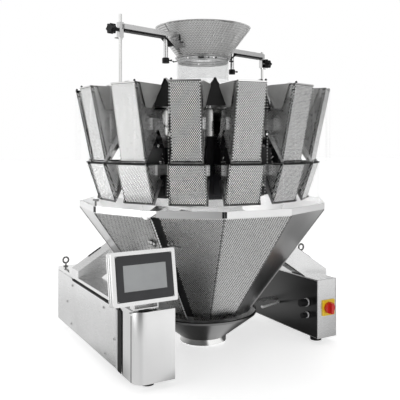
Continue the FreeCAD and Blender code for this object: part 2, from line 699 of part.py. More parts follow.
def leg_top(x):
    """Height of a leg's upper face at a distance from the machine's middle plane."""
    return LEG_SHOULDER_Z + (BASE_HALF_WIDTH - x) * math.tan(math.radians(LEG_ANGLE))


def outside_chute(side, x, leg_y):
    """How far the middle of a leg's upper face lies outside the chute's facets."""
    normals = [math.radians(FIRST_SEAM_ANGLE + PANEL_PITCH * (k + 0.5)) for k in range(PANELS)]
    y = leg_middle(x, leg_y)
    reach = max(side * x * math.sin(normal) - y * math.cos(normal) for normal in normals)
    return reach - chute_apothem(leg_top(x))


def leg_saddle(side, leg_y, panels):
    """Plate on a leg's upper face that steps round the chute panel and carries it."""
    inside_x = CORE_HALF_X
    outside_x = BASE_HALF_WIDTH
    for _ in range(SADDLE_STEPS):
        cross_x = (inside_x + outside_x) / 2
        if outside_chute(side, cross_x, leg_y) > 0:
            outside_x = cross_x
        else:
            inside_x = cross_x
    lift = (LEG_CLEARANCE + SADDLE_LAP) / math.cos(math.radians(LEG_ANGLE))
    far_x = cross_x + SADDLE_OUT
    near_x = cross_x - SADDLE_IN
    y_low = leg_middle(cross_x, leg_y) - SADDLE_WIDTH / 2
    outline = [V(side * far_x, y_low, leg_top(far_x)), V(side * near_x, y_low, leg_top(near_x)),
               V(side * near_x, y_low, leg_top(near_x) + lift),
               V(side * far_x, y_low, leg_top(far_x) + lift)]
    plate = Part.Face(Part.makePolygon(outline + outline[:1])).extrude(V(0, SADDLE_WIDTH, 0))
    pieces = plate.cut(panels).Solids
    return max(pieces, key=lambda piece: piece.Volume)


def seam_gusset(number, panels):
    """Pointed plate at the rim that bridges a slotted seam."""
    outer = -(CHUTE_TOP_CORNER_R - GUSSET_BACK)
    corners = [V(x, outer, CHUTE_TOP_Z + lift) for x, lift in GUSSET_OUTLINE]
    plate = Part.Face(Part.makePolygon(corners + corners[:1])).extrude(V(0, GUSSET_THICK, 0))
    pieces = turned(plate, FIRST_SEAM_ANGLE + PANEL_PITCH * number).cut(panels).Solids
    return max(pieces, key=lambda piece: piece.Volume)


def build_chute():
    panels = []
    for number in range(PANELS):
        panels.extend(chute_panel(number))
    save("chute_panels", panels)
    shell = Part.makeCompound(panels)

    rim_in = DISCHARGE_RIM_R - DISCHARGE_SHEET
    low_z = DISCHARGE_RIM_Z - DISCHARGE_RIM
    save("discharge_funnel", [turned_profile(
        [(DISCHARGE_RIM_R, DISCHARGE_RIM_Z), (DISCHARGE_RIM_R, low_z), (COLLAR_R, COLLAR_TOP_Z),
         (COLLAR_R - DISCHARGE_SHEET, COLLAR_TOP_Z), (rim_in, low_z), (rim_in, DISCHARGE_RIM_Z)])])
    save("outlet_collar", [turned_profile(
        [(COLLAR_R, COLLAR_TOP_Z), (COLLAR_R, COLLAR_BOTTOM_Z),
         (COLLAR_R - COLLAR_SHEET, COLLAR_BOTTOM_Z), (COLLAR_R - COLLAR_SHEET, COLLAR_TOP_Z)])])

    inner_right = BASE_HALF_WIDTH - RIGHT_WIDTH
    inner_left = -BASE_HALF_WIDTH + LEFT_WIDTH
    stays = [box(x, (-STAY_HALF_WIDTH, STAY_HALF_WIDTH), (low_z, low_z + STAY_THICK))
             for x in ((DISCHARGE_RIM_R, inner_right), (inner_left, -DISCHARGE_RIM_R))]
    saddles = [leg_saddle(side, leg_y, shell) for side in (-1, 1)
               for leg_y in (FRONT_LEG_Y, BACK_LEG_Y)]
    gussets = [seam_gusset(number, shell) for number in SLOT_SEAMS]
    save("chute_brackets", stays + saddles + gussets)


def build_cabinets():
    left = box((-BASE_HALF_WIDTH, -BASE_HALF_WIDTH + LEFT_WIDTH), (LEFT_FRONT_Y, LEFT_BACK_Y),
               (BASE_BOTTOM_Z, BASE_TOP_Z))
    corner = [edge for edge in left.Edges
              if abs(edge.BoundBox.XMax + BASE_HALF_WIDTH) < 1e-6
              and abs(edge.BoundBox.YMax - LEFT_FRONT_Y) < 1e-6]
    left = left.makeFillet(COLUMN_R, corner)
    recess_start = LEFT_FRONT_Y + COLUMN_LENGTH
    recess = box((-BASE_HALF_WIDTH - 1, -BASE_HALF_WIDTH + RECESS_DEPTH),
                 (recess_start, LEFT_BACK_Y + 1), (BASE_BOTTOM_Z - 1, RECESS_TOP_Z))
    save("left_cabinet", [left.cut(recess)])

    face_x = -BASE_HALF_WIDTH + RECESS_DEPTH
    outer_x = face_x - COVER_STAND - COVER_THICK
    front_y = recess_start + COVER_FRONT_GAP
    back_y = LEFT_BACK_Y - COVER_GAP
    low_z = BASE_BOTTOM_Z + COVER_GAP
    corners = [V(outer_x, y, z) for y, z in (
        (front_y, low_z), (back_y, low_z), (back_y, COVER_BACK_TOP_Z),
        (COVER_STEP_Y, COVER_BACK_TOP_Z), (COVER_STEP_Y, COVER_TOP_Z), (front_y, COVER_TOP_Z))]
    cover = Part.Face(Part.makePolygon(corners + corners[:1])).extrude(V(COVER_THICK, 0, 0))
    spacers = [rod(SPACER_R, V(outer_x + 1, y, z), V(face_x, y, z))
               for y in (front_y + SPACER_INSET, (front_y + back_y) / 2, back_y - SPACER_INSET)
               for z in (low_z + SPACER_INSET, COVER_TOP_Z - SPACER_INSET)]
    save("left_cabinet_cover", [cover.fuse(spacers).removeSplitter()])

    save("right_cabinet", [box((BASE_HALF_WIDTH - RIGHT_WIDTH, BASE_HALF_WIDTH),
                               (RIGHT_FRONT_Y, RIGHT_BACK_Y), (BASE_BOTTOM_Z, BASE_TOP_Z))])

    left_x = -BASE_HALF_WIDTH + LEFT_WIDTH / 2
    right_x = BASE_HALF_WIDTH - RIGHT_WIDTH / 2
    save("feet", [foot(left_x, LEFT_FRONT_Y + FOOT_INSET), foot(left_x, LEFT_BACK_Y - FOOT_INSET),
                  foot(right_x, RIGHT_FRONT_Y + FOOT_INSET),
                  foot(right_x, RIGHT_BACK_Y - FOOT_INSET)])


def foot(x, y):
    pad = rod(FOOT_R, V(x, y, 0), V(x, y, FOOT_PAD))
    return pad.fuse(rod(FOOT_STEM_R, V(x, y, FOOT_PAD - 1), V(x, y, BASE_BOTTOM_Z))).removeSplitter()


def eye_bolt(spot, normal):
    """Lifting eye: flat collar, short stem and a closed ring."""
    collar = rod(EYE_COLLAR_R, spot, spot + normal * EYE_BAR_R)
    stem = rod(EYE_BAR_R, spot, spot + V(0, 0, EYE_STEM))
    ring = Part.makeTorus(EYE_R, EYE_BAR_R, spot + V(0, 0, EYE_STEM + EYE_R), V(0, 1, 0))
    return collar.fuse([stem, ring]).removeSplitter()


def build_fittings():
    left_eye = V(-BASE_HALF_WIDTH + LEFT_WIDTH / 5, LEFT_BACK_Y - FOOT_INSET / 3, BASE_TOP_Z)
    right_eye = V(LEG_EYE_X, leg_middle(LEG_EYE_X, FRONT_LEG_Y), leg_top(LEG_EYE_X))
    leg_turn = math.radians(LEG_ANGLE)
    leg_normal = V(math.sin(leg_turn), 0, math.cos(leg_turn))
    save("eye_bolts", [eye_bolt(left_eye, UP),
                       eye_bolt(right_eye, leg_normal).cut(leg(FRONT_LEG_Y))])

    half = PLATE_SIZE / 2
    plate = box((PLATE_CENTRE_X - half, PLATE_CENTRE_X + half), (RIGHT_FRONT_Y - PLATE_THICK, RIGHT_FRONT_Y),
                (PLATE_CENTRE_Z - half, PLATE_CENTRE_Z + half))
    upright = [edge for edge in plate.Edges if edge.BoundBox.YLength > PLATE_THICK / 2]
    save("switch_plate", [plate.makeFillet(PLATE_THICK, upright)])

    front = RIGHT_FRONT_Y - PLATE_THICK - PLAY
    centre = V(PLATE_CENTRE_X, front, PLATE_CENTRE_Z)
    disc = rod(SWITCH_R, centre, centre + V(0, -SWITCH_LENGTH / 2, 0))
    grip = box((PLATE_CENTRE_X - SWITCH_GRIP / 2, PLATE_CENTRE_X + SWITCH_GRIP / 2),
               (front - SWITCH_LENGTH, front - SWITCH_LENGTH / 2 + SHEET),
               (PLATE_CENTRE_Z - SWITCH_R + SHEET, PLATE_CENTRE_Z + SWITCH_R - SHEET))
    save("switch_knob", [disc.fuse(grip).removeSplitter()])

    inner_x = BASE_HALF_WIDTH - RIGHT_WIDTH
    sockets = []
    for y, z, radius, length in SOCKET_SPOTS:
        flange = rod(radius + SOCKET_LIP, V(inner_x, y, z), V(inner_x - SOCKET_FLANGE, y, z))
        body = rod(radius, V(inner_x - SOCKET_FLANGE + 1, y, z), V(inner_x - length, y, z))
        sockets.append(flange.fuse(body).removeSplitter())
    save("cable_sockets", sockets)


def tilted(shape):
    """Lean a display piece back about its lower front edge."""
    copy = shape.copy()
    copy.rotate(V(0, DISPLAY_FRONT_Y, DISPLAY_BOTTOM_Z), V(1, 0, 0), -DISPLAY_TILT)
    return copy


def build_display():
    half = DISPLAY_WIDTH / 2
    top_z = DISPLAY_BOTTOM_Z + DISPLAY_HEIGHT
    case = box((DISPLAY_X - half, DISPLAY_X + half),
               (DISPLAY_FRONT_Y, DISPLAY_FRONT_Y + DISPLAY_DEPTH), (DISPLAY_BOTTOM_Z, top_z))
    case = case.makeFillet(DISPLAY_CORNER_R, [edge for edge in case.Edges
                                              if edge.BoundBox.YLength > DISPLAY_DEPTH / 2])
    border = BEZEL_BORDER
    bezel = box((DISPLAY_X - half + border, DISPLAY_X + half - border),
                (DISPLAY_FRONT_Y - BEZEL_THICK, DISPLAY_FRONT_Y),
                (DISPLAY_BOTTOM_Z + border, top_z - border))
    bezel = bezel.makeFillet(BEZEL_CORNER_R, [edge for edge in bezel.Edges
                                              if edge.BoundBox.YLength > BEZEL_THICK / 2])
    window = box((DISPLAY_X - half + border + SCREEN_BORDER_X, DISPLAY_X + half - border - SCREEN_BORDER_X),
                 (DISPLAY_FRONT_Y - 2 * BEZEL_THICK, DISPLAY_FRONT_Y - BEZEL_THICK + SCREEN_RECESS),
                 (DISPLAY_BOTTOM_Z + border + SCREEN_BORDER_Z, top_z - border - SCREEN_BORDER_Z))
    neck_y = DISPLAY_FRONT_Y + DISPLAY_DEPTH / 2
    neck = rod(NECK_R, V(DISPLAY_X, neck_y, BASE_TOP_Z + PLAY), V(DISPLAY_X, neck_y, YOKE_Z))
    yoke_x = (DISPLAY_X - YOKE_HALF_WIDTH, DISPLAY_X + YOKE_HALF_WIDTH)
    yoke_y = (neck_y - YOKE_HALF_DEPTH, neck_y + YOKE_HALF_DEPTH)
    yoke = [box(yoke_x, yoke_y, (YOKE_Z, YOKE_Z + YOKE_THICK))]
    for low_x in (yoke_x[0], yoke_x[1] - YOKE_THICK):
        yoke.append(box((low_x, low_x + YOKE_THICK), yoke_y, (YOKE_Z, DISPLAY_BOTTOM_Z + YOKE_LAP)))
    save("display_housing", [tilted(case).fuse([neck] + yoke).removeSplitter()])
    save("display_screen", [tilted(bezel.cut(window))])


build_hoppers()
build_hangers()
build_column()
build_pans()
build_infeed()
build_frame()
build_chute()
build_cabinets()
build_fittings()
build_display()
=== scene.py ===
"""Looks of the fourteen-head combination weigher: camera, studio, finishes and small parts."""

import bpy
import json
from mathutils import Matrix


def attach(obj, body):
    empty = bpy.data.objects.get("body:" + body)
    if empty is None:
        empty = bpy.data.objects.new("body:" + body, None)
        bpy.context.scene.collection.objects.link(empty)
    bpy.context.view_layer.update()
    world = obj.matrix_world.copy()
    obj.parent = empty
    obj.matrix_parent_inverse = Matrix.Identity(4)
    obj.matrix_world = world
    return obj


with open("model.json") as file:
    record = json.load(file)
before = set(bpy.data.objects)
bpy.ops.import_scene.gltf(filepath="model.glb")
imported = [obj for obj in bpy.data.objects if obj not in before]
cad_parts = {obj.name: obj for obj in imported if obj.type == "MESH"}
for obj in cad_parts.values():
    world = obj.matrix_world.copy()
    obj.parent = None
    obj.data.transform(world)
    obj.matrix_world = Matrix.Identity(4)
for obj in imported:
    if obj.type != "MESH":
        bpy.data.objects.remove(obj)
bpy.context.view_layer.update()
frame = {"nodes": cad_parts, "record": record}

import json
import math

import bpy
import numpy as np
from mathutils import Vector

NODES = frame["nodes"]
UP = Vector((0.0, 0.0, 1.0))
MM = 0.001

# Ring of heads, as in the frame; bearings run from the front, seen from above
HEADS = 14
HEAD_PITCH = 2 * math.pi / HEADS
RING_TURN = 2.12
FIRST_HEAD = math.radians(180.0 / HEADS + RING_TURN)

# Camera, level, at the photograph's viewing angle; the shift only frames the picture
CAMERA_AZIMUTH = 0.518
CAMERA_DISTANCE = 2.55
CAMERA_HEIGHT = 0.832
PHOTO_SIZE = 400
FOCAL_PX = 594.7
AXIS_PX = 202.9
HORIZON_PX = 145.6
SENSOR = 36.0
RIGHT = Vector((math.cos(CAMERA_AZIMUTH), -math.sin(CAMERA_AZIMUTH), 0.0))
AHEAD = Vector((math.sin(CAMERA_AZIMUTH), math.cos(CAMERA_AZIMUTH), 0.0))

# Raised dimples of the hopper, funnel and chute sheet: pitch, share of the pitch that one covers, height
DIMPLE_ACROSS = 7.2 * MM
DIMPLE_ALONG = 10.6 * MM
DIMPLE_SHARE = 0.66
DIMPLE_HEIGHT = 0.55 * MM
DIMPLE_LIFT = 0.03 * MM
FUNNEL_LIFT = 8 * DIMPLE_LIFT
EDGE_MARGIN = 0.6 * MM
BEAD_R = 1.6 * MM

# Infeed funnel, millimetres: radius and height of its top and neck, and the plain section's bearings
FUNNEL_TOP = (204.0, 1332.0)
FUNNEL_NECK = (107.5, 1207.0)
PLAIN_FROM = -146.0
PLAIN_TO = -80.0
# Bearing, then post radius, clamp height, arm height, tube radius and knob height of each support
SUPPORTS = ((-75.02, 438.0, 1239.0, 1272.0, 211.0, 1176.0),
            (104.98, 394.0, 1201.0, 1247.0, 184.0, 1164.0))
POST_BLOCKS = ((1201, 1219), (1222, 1240))
# Latch on the funnel's left: ends of each rod by radius, height and side
LATCH_BEARING = -70.0
LATCH_RODS = (((168, 1290, 8), (156, 1270, 2)), ((156, 1270, 2), (160, 1262, 14)),
              ((160, 1262, 14), (170, 1282, 20)), ((150, 1256, 4), (152, 1252, 22)),
              ((172, 1292, -6), (168, 1294, 14)))
# Bolts round the neck, in degrees from the direction of the camera
NECK_BOLTS = (-33.6, -8.0, -4.0, 0.0, 12.3, 23.5, 29.4, 48.0, 75.0, 110.0, 150.0, 190.0, 230.0, 270.0)
WIDE_BOLTS = (-8.0, -4.0, 0.0)
BLACK_BOLTS = WIDE_BOLTS + (12.3, 29.4)
BOLT_Z = 1195

# Chute: seams in degrees, the rest in millimetres; corners by radius and height
SEAM_PITCH = 30.0
FIRST_SEAM = -21.4
SLOT_SEAM = -51.4
PATTERN_FROM = -81.4
CHUTE_TOP = (519.0, 581.0)
CHUTE_FOOT = (197.0, 139.0)
SLOT_SEAMS = (SLOT_SEAM, SLOT_SEAM + 180)
RIM_GAP_SEAMS = (FIRST_SEAM, FIRST_SEAM - 60, FIRST_SEAM + 180)
LATCH_SEAMS = (SLOT_SEAM - SEAM_PITCH, SLOT_SEAM - SEAM_PITCH + 180)
# Beside a slot's seam: (side, height, distance back) or (side, height)
SLOT_OUTLINE = ((-4, 150.0, 14), (46, 150.0, 14), (56, 579, 26), (-4, 579, 26))
FOLD_OUTLINE = ((7.0, 142), (13.0, 142), (11.5, 574), (7.0, 574))
FOLD_BEADS = 41
FOLD_BEAD_PITCH = 10.4
# (side, height, radius) of each screw head, and (lower side, upper side, height) of each lever
SLOT_SCREWS = ((-30, 486, 4), (-20, 484, 6), (-8, 480, 5), (44, 478, 5), (58, 482, 6), (74, 480, 4))
SLOT_LEVERS = ((-36, -10, 478), (44, 80, 474))
SEAM_COVER_Z = (141, 579)
SEAM_COVER_R = 2.4 * MM
RIM_GAP_Z = 582
RIM_GAP_HEIGHT = 22
OUTLET_RIM_Z = 139.0

# Drive units, millimetres in the frame of a head
DRIVE_FACE_R = 343
# Height of a pair of shafts at root and tip, and of the roller above them
SHAFTS = ((687, 683, 718), (831, 831, 866))
DRIVE_SCREWS = ((-40, 812), (38, 800), (-38, 720), (40, 712), (-44, 770), (44, 768))
SPRING_COILS = 6
SPRING_TOP_Z = 770
SPRING_PITCH = 7
HINGE_PINS = (900, 922)
HINGE_PIN_R = 431

# Hopper trim, millimetres: radius and height along a front's upper edge, and of the flared corner plates
FEED_EDGE = (530.8, 1055.2)
WEIGH_EDGE = (485.6, 765.0)
WING_CORNERS = ((505, 1057, 58.5), (398, 1054, 76), (438, 968, 58.5), (470, 968, 58.0))
# Black plate between two pans, painted shade for the gap there, by height and side
SEAM_PLATE_R = 404
SEAM_PLATE = ((1079.5, 0), (1054, 18), (978, 47), (978, -47), (1054, -18))

# Display, millimetres, leaning back about its lower front edge
DISPLAY_X = -431.5
DISPLAY_FRONT_Y = -376.0
DISPLAY_BOTTOM_Z = 297.0
DISPLAY_TILT = math.radians(10.0)
BEZEL_LINE = 1.6

# Base, millimetres; leg angles in degrees
COVER_X = -478.0
COVER_SCREWS = ((299, 227), (373, 142), (315, 57), (-86, 223), (-195, 135), (-105, 56))
COLUMN_X = -476.3
CABINET_EDGE_Y = -302
CABINET_EDGE_X = (378, 476)
INNER_SIDE_X = 377.6
LEG_YAW = 19.2
LEG_SLOPE = 37.0
LEG_OUTER_X = 476
LEG_OUTER_Y = (-199.0, 273.0)
# Ends along x of each strip, the point where its height is measured, and that height
LEG_TOP_STRIP = (362, 412, 476, 301)
LEG_FOOT_STRIP = (300, 352, 385, 270)
LEG_HALF_WIDTH = 38
# (y, z, radius) of each cable socket's bright ring, a painted highlight
SOCKETS = ((-238, 167, 18), (-240, 114, 14))


def new_object(name, mesh, material, body):
    """Link a mesh as a piece that rides on a body and takes its finish from a slot."""
    piece = bpy.data.objects.new(name, mesh)
    bpy.context.scene.collection.objects.link(piece)
    mesh.materials.clear()
    mesh.materials.append(material)
    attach(piece, body)
    return piece


def mesh_from(name, points, faces):
    mesh = bpy.data.meshes.new(name)
    mesh.from_pydata([tuple(point) for point in points], [], [tuple(face) for face in faces])
    mesh.validate()
    mesh.update()
    return mesh


class Tree:
    """Short way to build a node tree."""

    def __init__(self, tree):
        self.tree = tree

    def add(self, kind, **values):
        node = self.tree.nodes.new(kind)
        for key, value in values.items():
            setattr(node, key, value)
        return node

    def link(self, start, end):
        self.tree.links.new(start, end)

    def feed(self, socket, value):
        if isinstance(value, bpy.types.NodeSocket):
            self.link(value, socket)
        else:
            socket.default_value = value

    def math(self, operation, first, second=0.0, third=0.0):
        node = self.add("ShaderNodeMath", operation=operation)
        for socket, value in zip(node.inputs, (first, second, third)):
            self.feed(socket, value)
        return node.outputs[0]

    def vector(self, operation, first, second=(0.0, 0.0, 0.0)):
        node = self.add("ShaderNodeVectorMath", operation=operation)
        self.feed(node.inputs[0], first)
        self.feed(node.inputs[1], second)
        return node.outputs["Value" if operation in ("DOT_PRODUCT", "LENGTH") else "Vector"]

    def ramp(self, value, stops):
        """Value mapped through (position, grey or colour) stops."""
        node = self.add("ShaderNodeValToRGB")
        elements = node.color_ramp.elements
        while len(elements) < len(stops):
            elements.new(0.5)
        for element, (position, colour) in zip(elements, stops):
            element.position = position
            grey = isinstance(colour, (int, float))
            element.color = (colour, colour, colour, 1.0) if grey else (*colour, 1.0)
        self.link(value, node.inputs[0])
        return node.outputs[0]

    def bearing_level(self, vector, levels):
        """Level by bearing about the upright axis, from (degrees right of the camera, level) stops."""
        side = self.vector("DOT_PRODUCT", vector, RIGHT)
        front = self.vector("DOT_PRODUCT", vector, -AHEAD)
        turn = self.math("ARCTAN2", side, front)
        share = self.math("MULTIPLY_ADD", turn, 0.5 / math.pi, 0.5)
        most = max(level for _, level in levels)
        stops = [(0.5 + bearing / 360.0, level / most) for bearing, level in levels]
        return self.math("MULTIPLY", self.ramp(share, stops), most)

    def noise(self, vector, scale, detail=3.0, roughness=0.5):
        node = self.add("ShaderNodeTexNoise")
        self.link(vector, node.inputs["Vector"])
        node.inputs["Scale"].default_value = scale
        node.inputs["Detail"].default_value = detail
        node.inputs["Roughness"].default_value = roughness
        return node.outputs[0]

    def mix(self, share, first, second):
        rise = self.math("SUBTRACT", second, first)
        return self.math("MULTIPLY_ADD", rise, share, first)

    def blend(self, factor, first, second):
        node = self.add("ShaderNodeMix", data_type="RGBA")
        self.link(factor, node.inputs[0])
        self.feed(node.inputs[6], first)
        self.feed(node.inputs[7], second)
        return node.outputs[2]

    def stretch(self, vector, scale):
        node = self.add("ShaderNodeMapping")
        self.link(vector, node.inputs["Vector"])
        node.inputs["Scale"].default_value = scale
        return node.outputs[0]


class Finish(Tree):
    """Node tree of one material."""

    def __init__(self, name):
        self.material = bpy.data.materials.new(name)
        self.material.use_nodes = True
        super().__init__(self.material.node_tree)
        self.shader = self.tree.nodes["Principled BSDF"]
        self.output = self.tree.nodes["Material Output"]

    def bump(self, height, strength, distance):
        node = self.add("ShaderNodeBump")
        node.inputs["Strength"].default_value = strength
        node.inputs["Distance"].default_value = distance
        self.link(height, node.inputs["Height"])
        self.link(node.outputs[0], self.shader.inputs["Normal"])

    def set(self, **values):
        for key, value in values.items():
            self.feed(self.shader.inputs[key.replace("_", " ")], value)

    def plate_position(self):
        """Place on a flat sheet: level across it, and up its slope."""
        place = self.add("ShaderNodeTexCoord")
        across = self.vector("NORMALIZE", self.vector("CROSS_PRODUCT", place.outputs["Normal"], UP))
        along = self.vector("CROSS_PRODUCT", across, place.outputs["Normal"])
        return (self.vector("DOT_PRODUCT", place.outputs["Object"], across),
                self.vector("DOT_PRODUCT", place.outputs["Object"], along), place)

    def dimple_waves(self):
        """The two crossing waves of the dimple pattern on a flat sheet, and the coordinate node."""
        across, along, place = self.plate_position()
        wave_across = self.math("COSINE", self.math("MULTIPLY", across, 2 * math.pi / DIMPLE_ACROSS))
        wave_along = self.math("COSINE", self.math("MULTIPLY", along, 2 * math.pi / DIMPLE_ALONG))
        return wave_across, wave_along, place


def dimple_steel(name, valley_painted_shade, crest_painted_shade, plain=None, metallic=1.0):
    """Stainless sheet pressed with a rhombic pattern of small raised points; the sheet between the points
    is painted dark as painted shade, darkest in the valleys; level faces stay plain.
    """
    made = Finish(name)
    wave_across, wave_along, place = made.dimple_waves()
    both = made.math("MULTIPLY", made.math("ADD", wave_across, wave_along), 0.5)
    height = made.math("MULTIPLY", both, both)
    # Painted shade: the patterned sheet gets a dark colour, darkest in the valleys between the points
    shade = made.ramp(height, ((0.0, valley_painted_shade), (0.6, crest_painted_shade)))
    upward = made.math("ABSOLUTE", made.vector("DOT_PRODUCT", place.outputs["Normal"], UP))
    fold = made.math("GREATER_THAN", upward, 0.85)
    smooth = made.math("MAXIMUM", fold, plain(made, place)) if plain else fold
    clouds = made.ramp(made.noise(place.outputs["Object"], 6.0, 3.0), ((0.3, 0.70), (0.7, 0.78)))
    made.set(Base_Color=made.blend(smooth, shade, clouds), Metallic=metallic,
             Roughness=made.math("MULTIPLY_ADD", smooth, 0.10, 0.18))
    if plain:
        inner = inward_side(made, place)
        made.set(Metallic=made.math("MULTIPLY_ADD", inner, -0.9, 1.0))
    return made.material


def inward_side(made, place):
    """Whether a face looks towards the machine's middle."""
    return made.math("LESS_THAN", made.vector("DOT_PRODUCT", place.outputs["Normal"],
                                              place.outputs["Object"]), -0.05)


def plain_panel(made, place):
    """Where the chute is plain: three panels in six, the rim's outer band and the inner side."""
    spot_xyz = made.add("ShaderNodeSeparateXYZ")
    made.link(place.outputs["Object"], spot_xyz.inputs[0])
    x, y, z = spot_xyz.outputs
    turn = made.math("ARCTAN2", x, made.math("MULTIPLY", y, -1.0))
    bearing = made.math("MULTIPLY_ADD", turn, 180.0 / math.pi, 360.0 - PATTERN_FROM)
    plain = made.math("GREATER_THAN", made.math("MODULO", bearing, 180.0), 3 * SEAM_PITCH)
    rim = made.math("GREATER_THAN", z, (CHUTE_TOP[1] - 3) * MM)
    return made.math("MAXIMUM", made.math("MAXIMUM", plain, rim), inward_side(made, place))


def dimple_points(name, colour):
    """Polished tops of the raised points."""
    made = Finish(name)
    place = made.add("ShaderNodeTexCoord")
    wear = made.noise(place.outputs["Object"], 60.0, 3.0)
    made.set(Base_Color=made.ramp(wear, ((0.3, colour * 0.95), (0.7, colour * 1.04))),
             Metallic=1.0, Roughness=made.math("MULTIPLY_ADD", wear, 0.08, 0.24))
    return made.material


def pan_steel_painted_shade():
    """Bright dimpled floor of the feeder pans and hopper backs; every face that does not look upwards is
    painted near-black as painted shade.
    """
    made = Finish("pan_steel_painted_shade")
    wave_across, wave_along, place = made.dimple_waves()
    height = made.math("MULTIPLY", wave_across, wave_along)
    top = made.math("GREATER_THAN", made.vector("DOT_PRODUCT", place.outputs["Normal"], UP), 0.2)
    bright = made.ramp(height, ((0.0, 0.62), (0.6, 0.86)))
    # Painted shade: near-black for faces that do not look upwards
    dark = made.ramp(height, ((0.0, 0.012), (0.6, 0.05)))
    made.set(Base_Color=made.blend(top, dark, bright), Metallic=1.0,
             Roughness=made.math("MULTIPLY_ADD", height, -0.05, 0.32))
    return made.material


def brushed_steel(name="brushed_steel", colour=0.74, roughness=0.27):
    """Satin stainless sheet with fine level grain and faint large clouds."""
    made = Finish(name)
    place = made.add("ShaderNodeTexCoord")
    lines = made.noise(made.stretch(place.outputs["Object"], (2.0, 2.0, 90.0)), 12.0, 4.0, 0.6)
    clouds = made.noise(place.outputs["Object"], 5.0, 3.0)
    made.set(Base_Color=made.ramp(clouds, ((0.25, colour * 0.93), (0.75, min(colour * 1.06, 1.0)))),
             Metallic=1.0,
             Roughness=made.math("ADD", made.math("MULTIPLY_ADD", lines, 0.10, roughness - 0.05),
                                 made.math("MULTIPLY_ADD", clouds, 0.08, -0.04)))
    made.bump(lines, 0.06, 0.3 * MM)
    return made.material


def outlet_steel():
    """Shaded sheet of the discharge funnel, with a dark line round its rim."""
    made = Finish("outlet_steel")
    place = made.add("ShaderNodeTexCoord")
    height = made.vector("DOT_PRODUCT", place.outputs["Object"], UP)
    rim = made.math("GREATER_THAN", height, (OUTLET_RIM_Z - 4) * MM)
    clouds = made.ramp(made.noise(place.outputs["Object"], 5.0, 3.0), ((0.25, 0.17), (0.75, 0.21)))
    made.set(Base_Color=made.blend(rim, clouds, (0.015, 0.015, 0.015, 1.0)), Metallic=1.0,
             Roughness=0.30)
    return made.material


def polished_steel(name="polished_steel", colour=0.84):
    made = Finish(name)
    place = made.add("ShaderNodeTexCoord")
    rings = made.noise(made.stretch(place.outputs["Object"], (1.0, 1.0, 40.0)), 20.0, 3.0)
    made.set(Base_Color=(colour, colour, colour * 0.99, 1.0), Metallic=1.0,
             Roughness=made.math("MULTIPLY_ADD", rings, 0.10, 0.08))
    made.bump(rings, 0.03, 0.2 * MM)
    return made.material


def grained(name, colour, roughness, scale, strength, spread=0.25, coat=0.0, specular=0.5):
    """Painted or moulded surface with a fine grain and slightly uneven colour."""
    made = Finish(name)
    place = made.add("ShaderNodeTexCoord")
    grain = made.noise(place.outputs["Object"], scale, 3.0)
    patch = made.noise(place.outputs["Object"], 14.0, 3.0)
    low = tuple(value * (1 - spread) for value in colour)
    high = tuple(min(value * (1 + spread), 1.0) for value in colour)
    made.set(Base_Color=made.ramp(patch, ((0.3, low), (0.7, high))),
             Roughness=made.math("MULTIPLY_ADD", grain, 0.15, roughness - 0.07))
    made.shader.inputs["Coat Weight"].default_value = coat
    made.shader.inputs["Specular IOR Level"].default_value = specular
    made.bump(grain, strength, 0.2 * MM)
    return made.material


def clear_acrylic():
    made = Finish("clear_acrylic")
    place = made.add("ShaderNodeTexCoord")
    haze = made.noise(place.outputs["Object"], 30.0, 2.0)
    made.set(Base_Color=(0.97, 0.985, 0.99, 1.0), Roughness=made.math("MULTIPLY_ADD", haze, 0.06, 0.02),
             Alpha=made.math("MULTIPLY_ADD", haze, 0.10, 0.12))
    return made.material


MATERIALS = {
    "dimple_steel": dimple_steel("dimple_steel", (0.07, 0.07, 0.068), (0.17, 0.17, 0.165)),
    "brushed_steel": brushed_steel(),
    "polished_steel": polished_steel(),
    "black_metal": grained("black_metal", (0.012, 0.012, 0.013), 0.35, 400.0, 0.10, coat=0.1,
                           specular=0.3),
    "clear_acrylic": clear_acrylic(),
    "black_plastic": grained("black_plastic", (0.009, 0.009, 0.0095), 0.45, 600.0, 0.20, specular=0.25),
    "black_rubber": grained("black_rubber", (0.02, 0.02, 0.02), 0.75, 300.0, 0.30, specular=0.25),
    "dark_screen": grained("dark_screen", (0.016, 0.016, 0.019), 0.30, 500.0, 0.02),
    "yellow_plastic": grained("yellow_plastic", (0.90, 0.62, 0.02), 0.30, 500.0, 0.05, 0.05, coat=0.3),
    "red_plastic": grained("red_plastic", (0.66, 0.015, 0.012), 0.28, 500.0, 0.05, 0.08, coat=0.4),
}
POINTS = dimple_points("dimple_points", 0.92)
CHUTE_POINTS = dimple_points("chute_points", 0.80)
DARK_STEEL = brushed_steel("shaded_steel", 0.22, 0.32)
OUTLET_STEEL = outlet_steel()
DARK_BRIGHT = polished_steel("dark_polished_steel", 0.22)
PAN_STEEL = pan_steel_painted_shade()
SCREEN_GLASS = grained("screen_glass", (0.33, 0.34, 0.345), 0.18, 300.0, 0.01, 0.06, coat=0.5)
CHUTE_STEEL = dimple_steel("chute_steel", (0.10, 0.10, 0.096), (0.20, 0.20, 0.195), plain_panel)
SIDE_STEEL = dimple_steel("side_steel", (0.20, 0.20, 0.197), (0.32, 0.32, 0.315))
WING_STEEL = grained("wing_steel", (0.30, 0.30, 0.295), 0.35, 200.0, 0.05, 0.15)
FUNNEL_STEEL = dimple_steel("funnel_steel", (0.30, 0.30, 0.297), (0.66, 0.66, 0.655), metallic=0.45)
FUNNEL_POINTS = grained("funnel_points", (0.95, 0.95, 0.945), 0.30, 200.0, 0.02, 0.04)
COLUMN_STEEL = brushed_steel("column_steel", 0.80, 0.15)
SATIN = grained("satin_steel", (0.74, 0.74, 0.74), 0.35, 200.0, 0.02, 0.03)
# Near-black steel for the painted shade on the right cabinet's inner side
INNER_SHADE_STEEL = brushed_steel("inner_side_shade_steel", 0.07, 0.35)
SEAM_STEEL = brushed_steel("seam_steel", 0.30, 0.30)
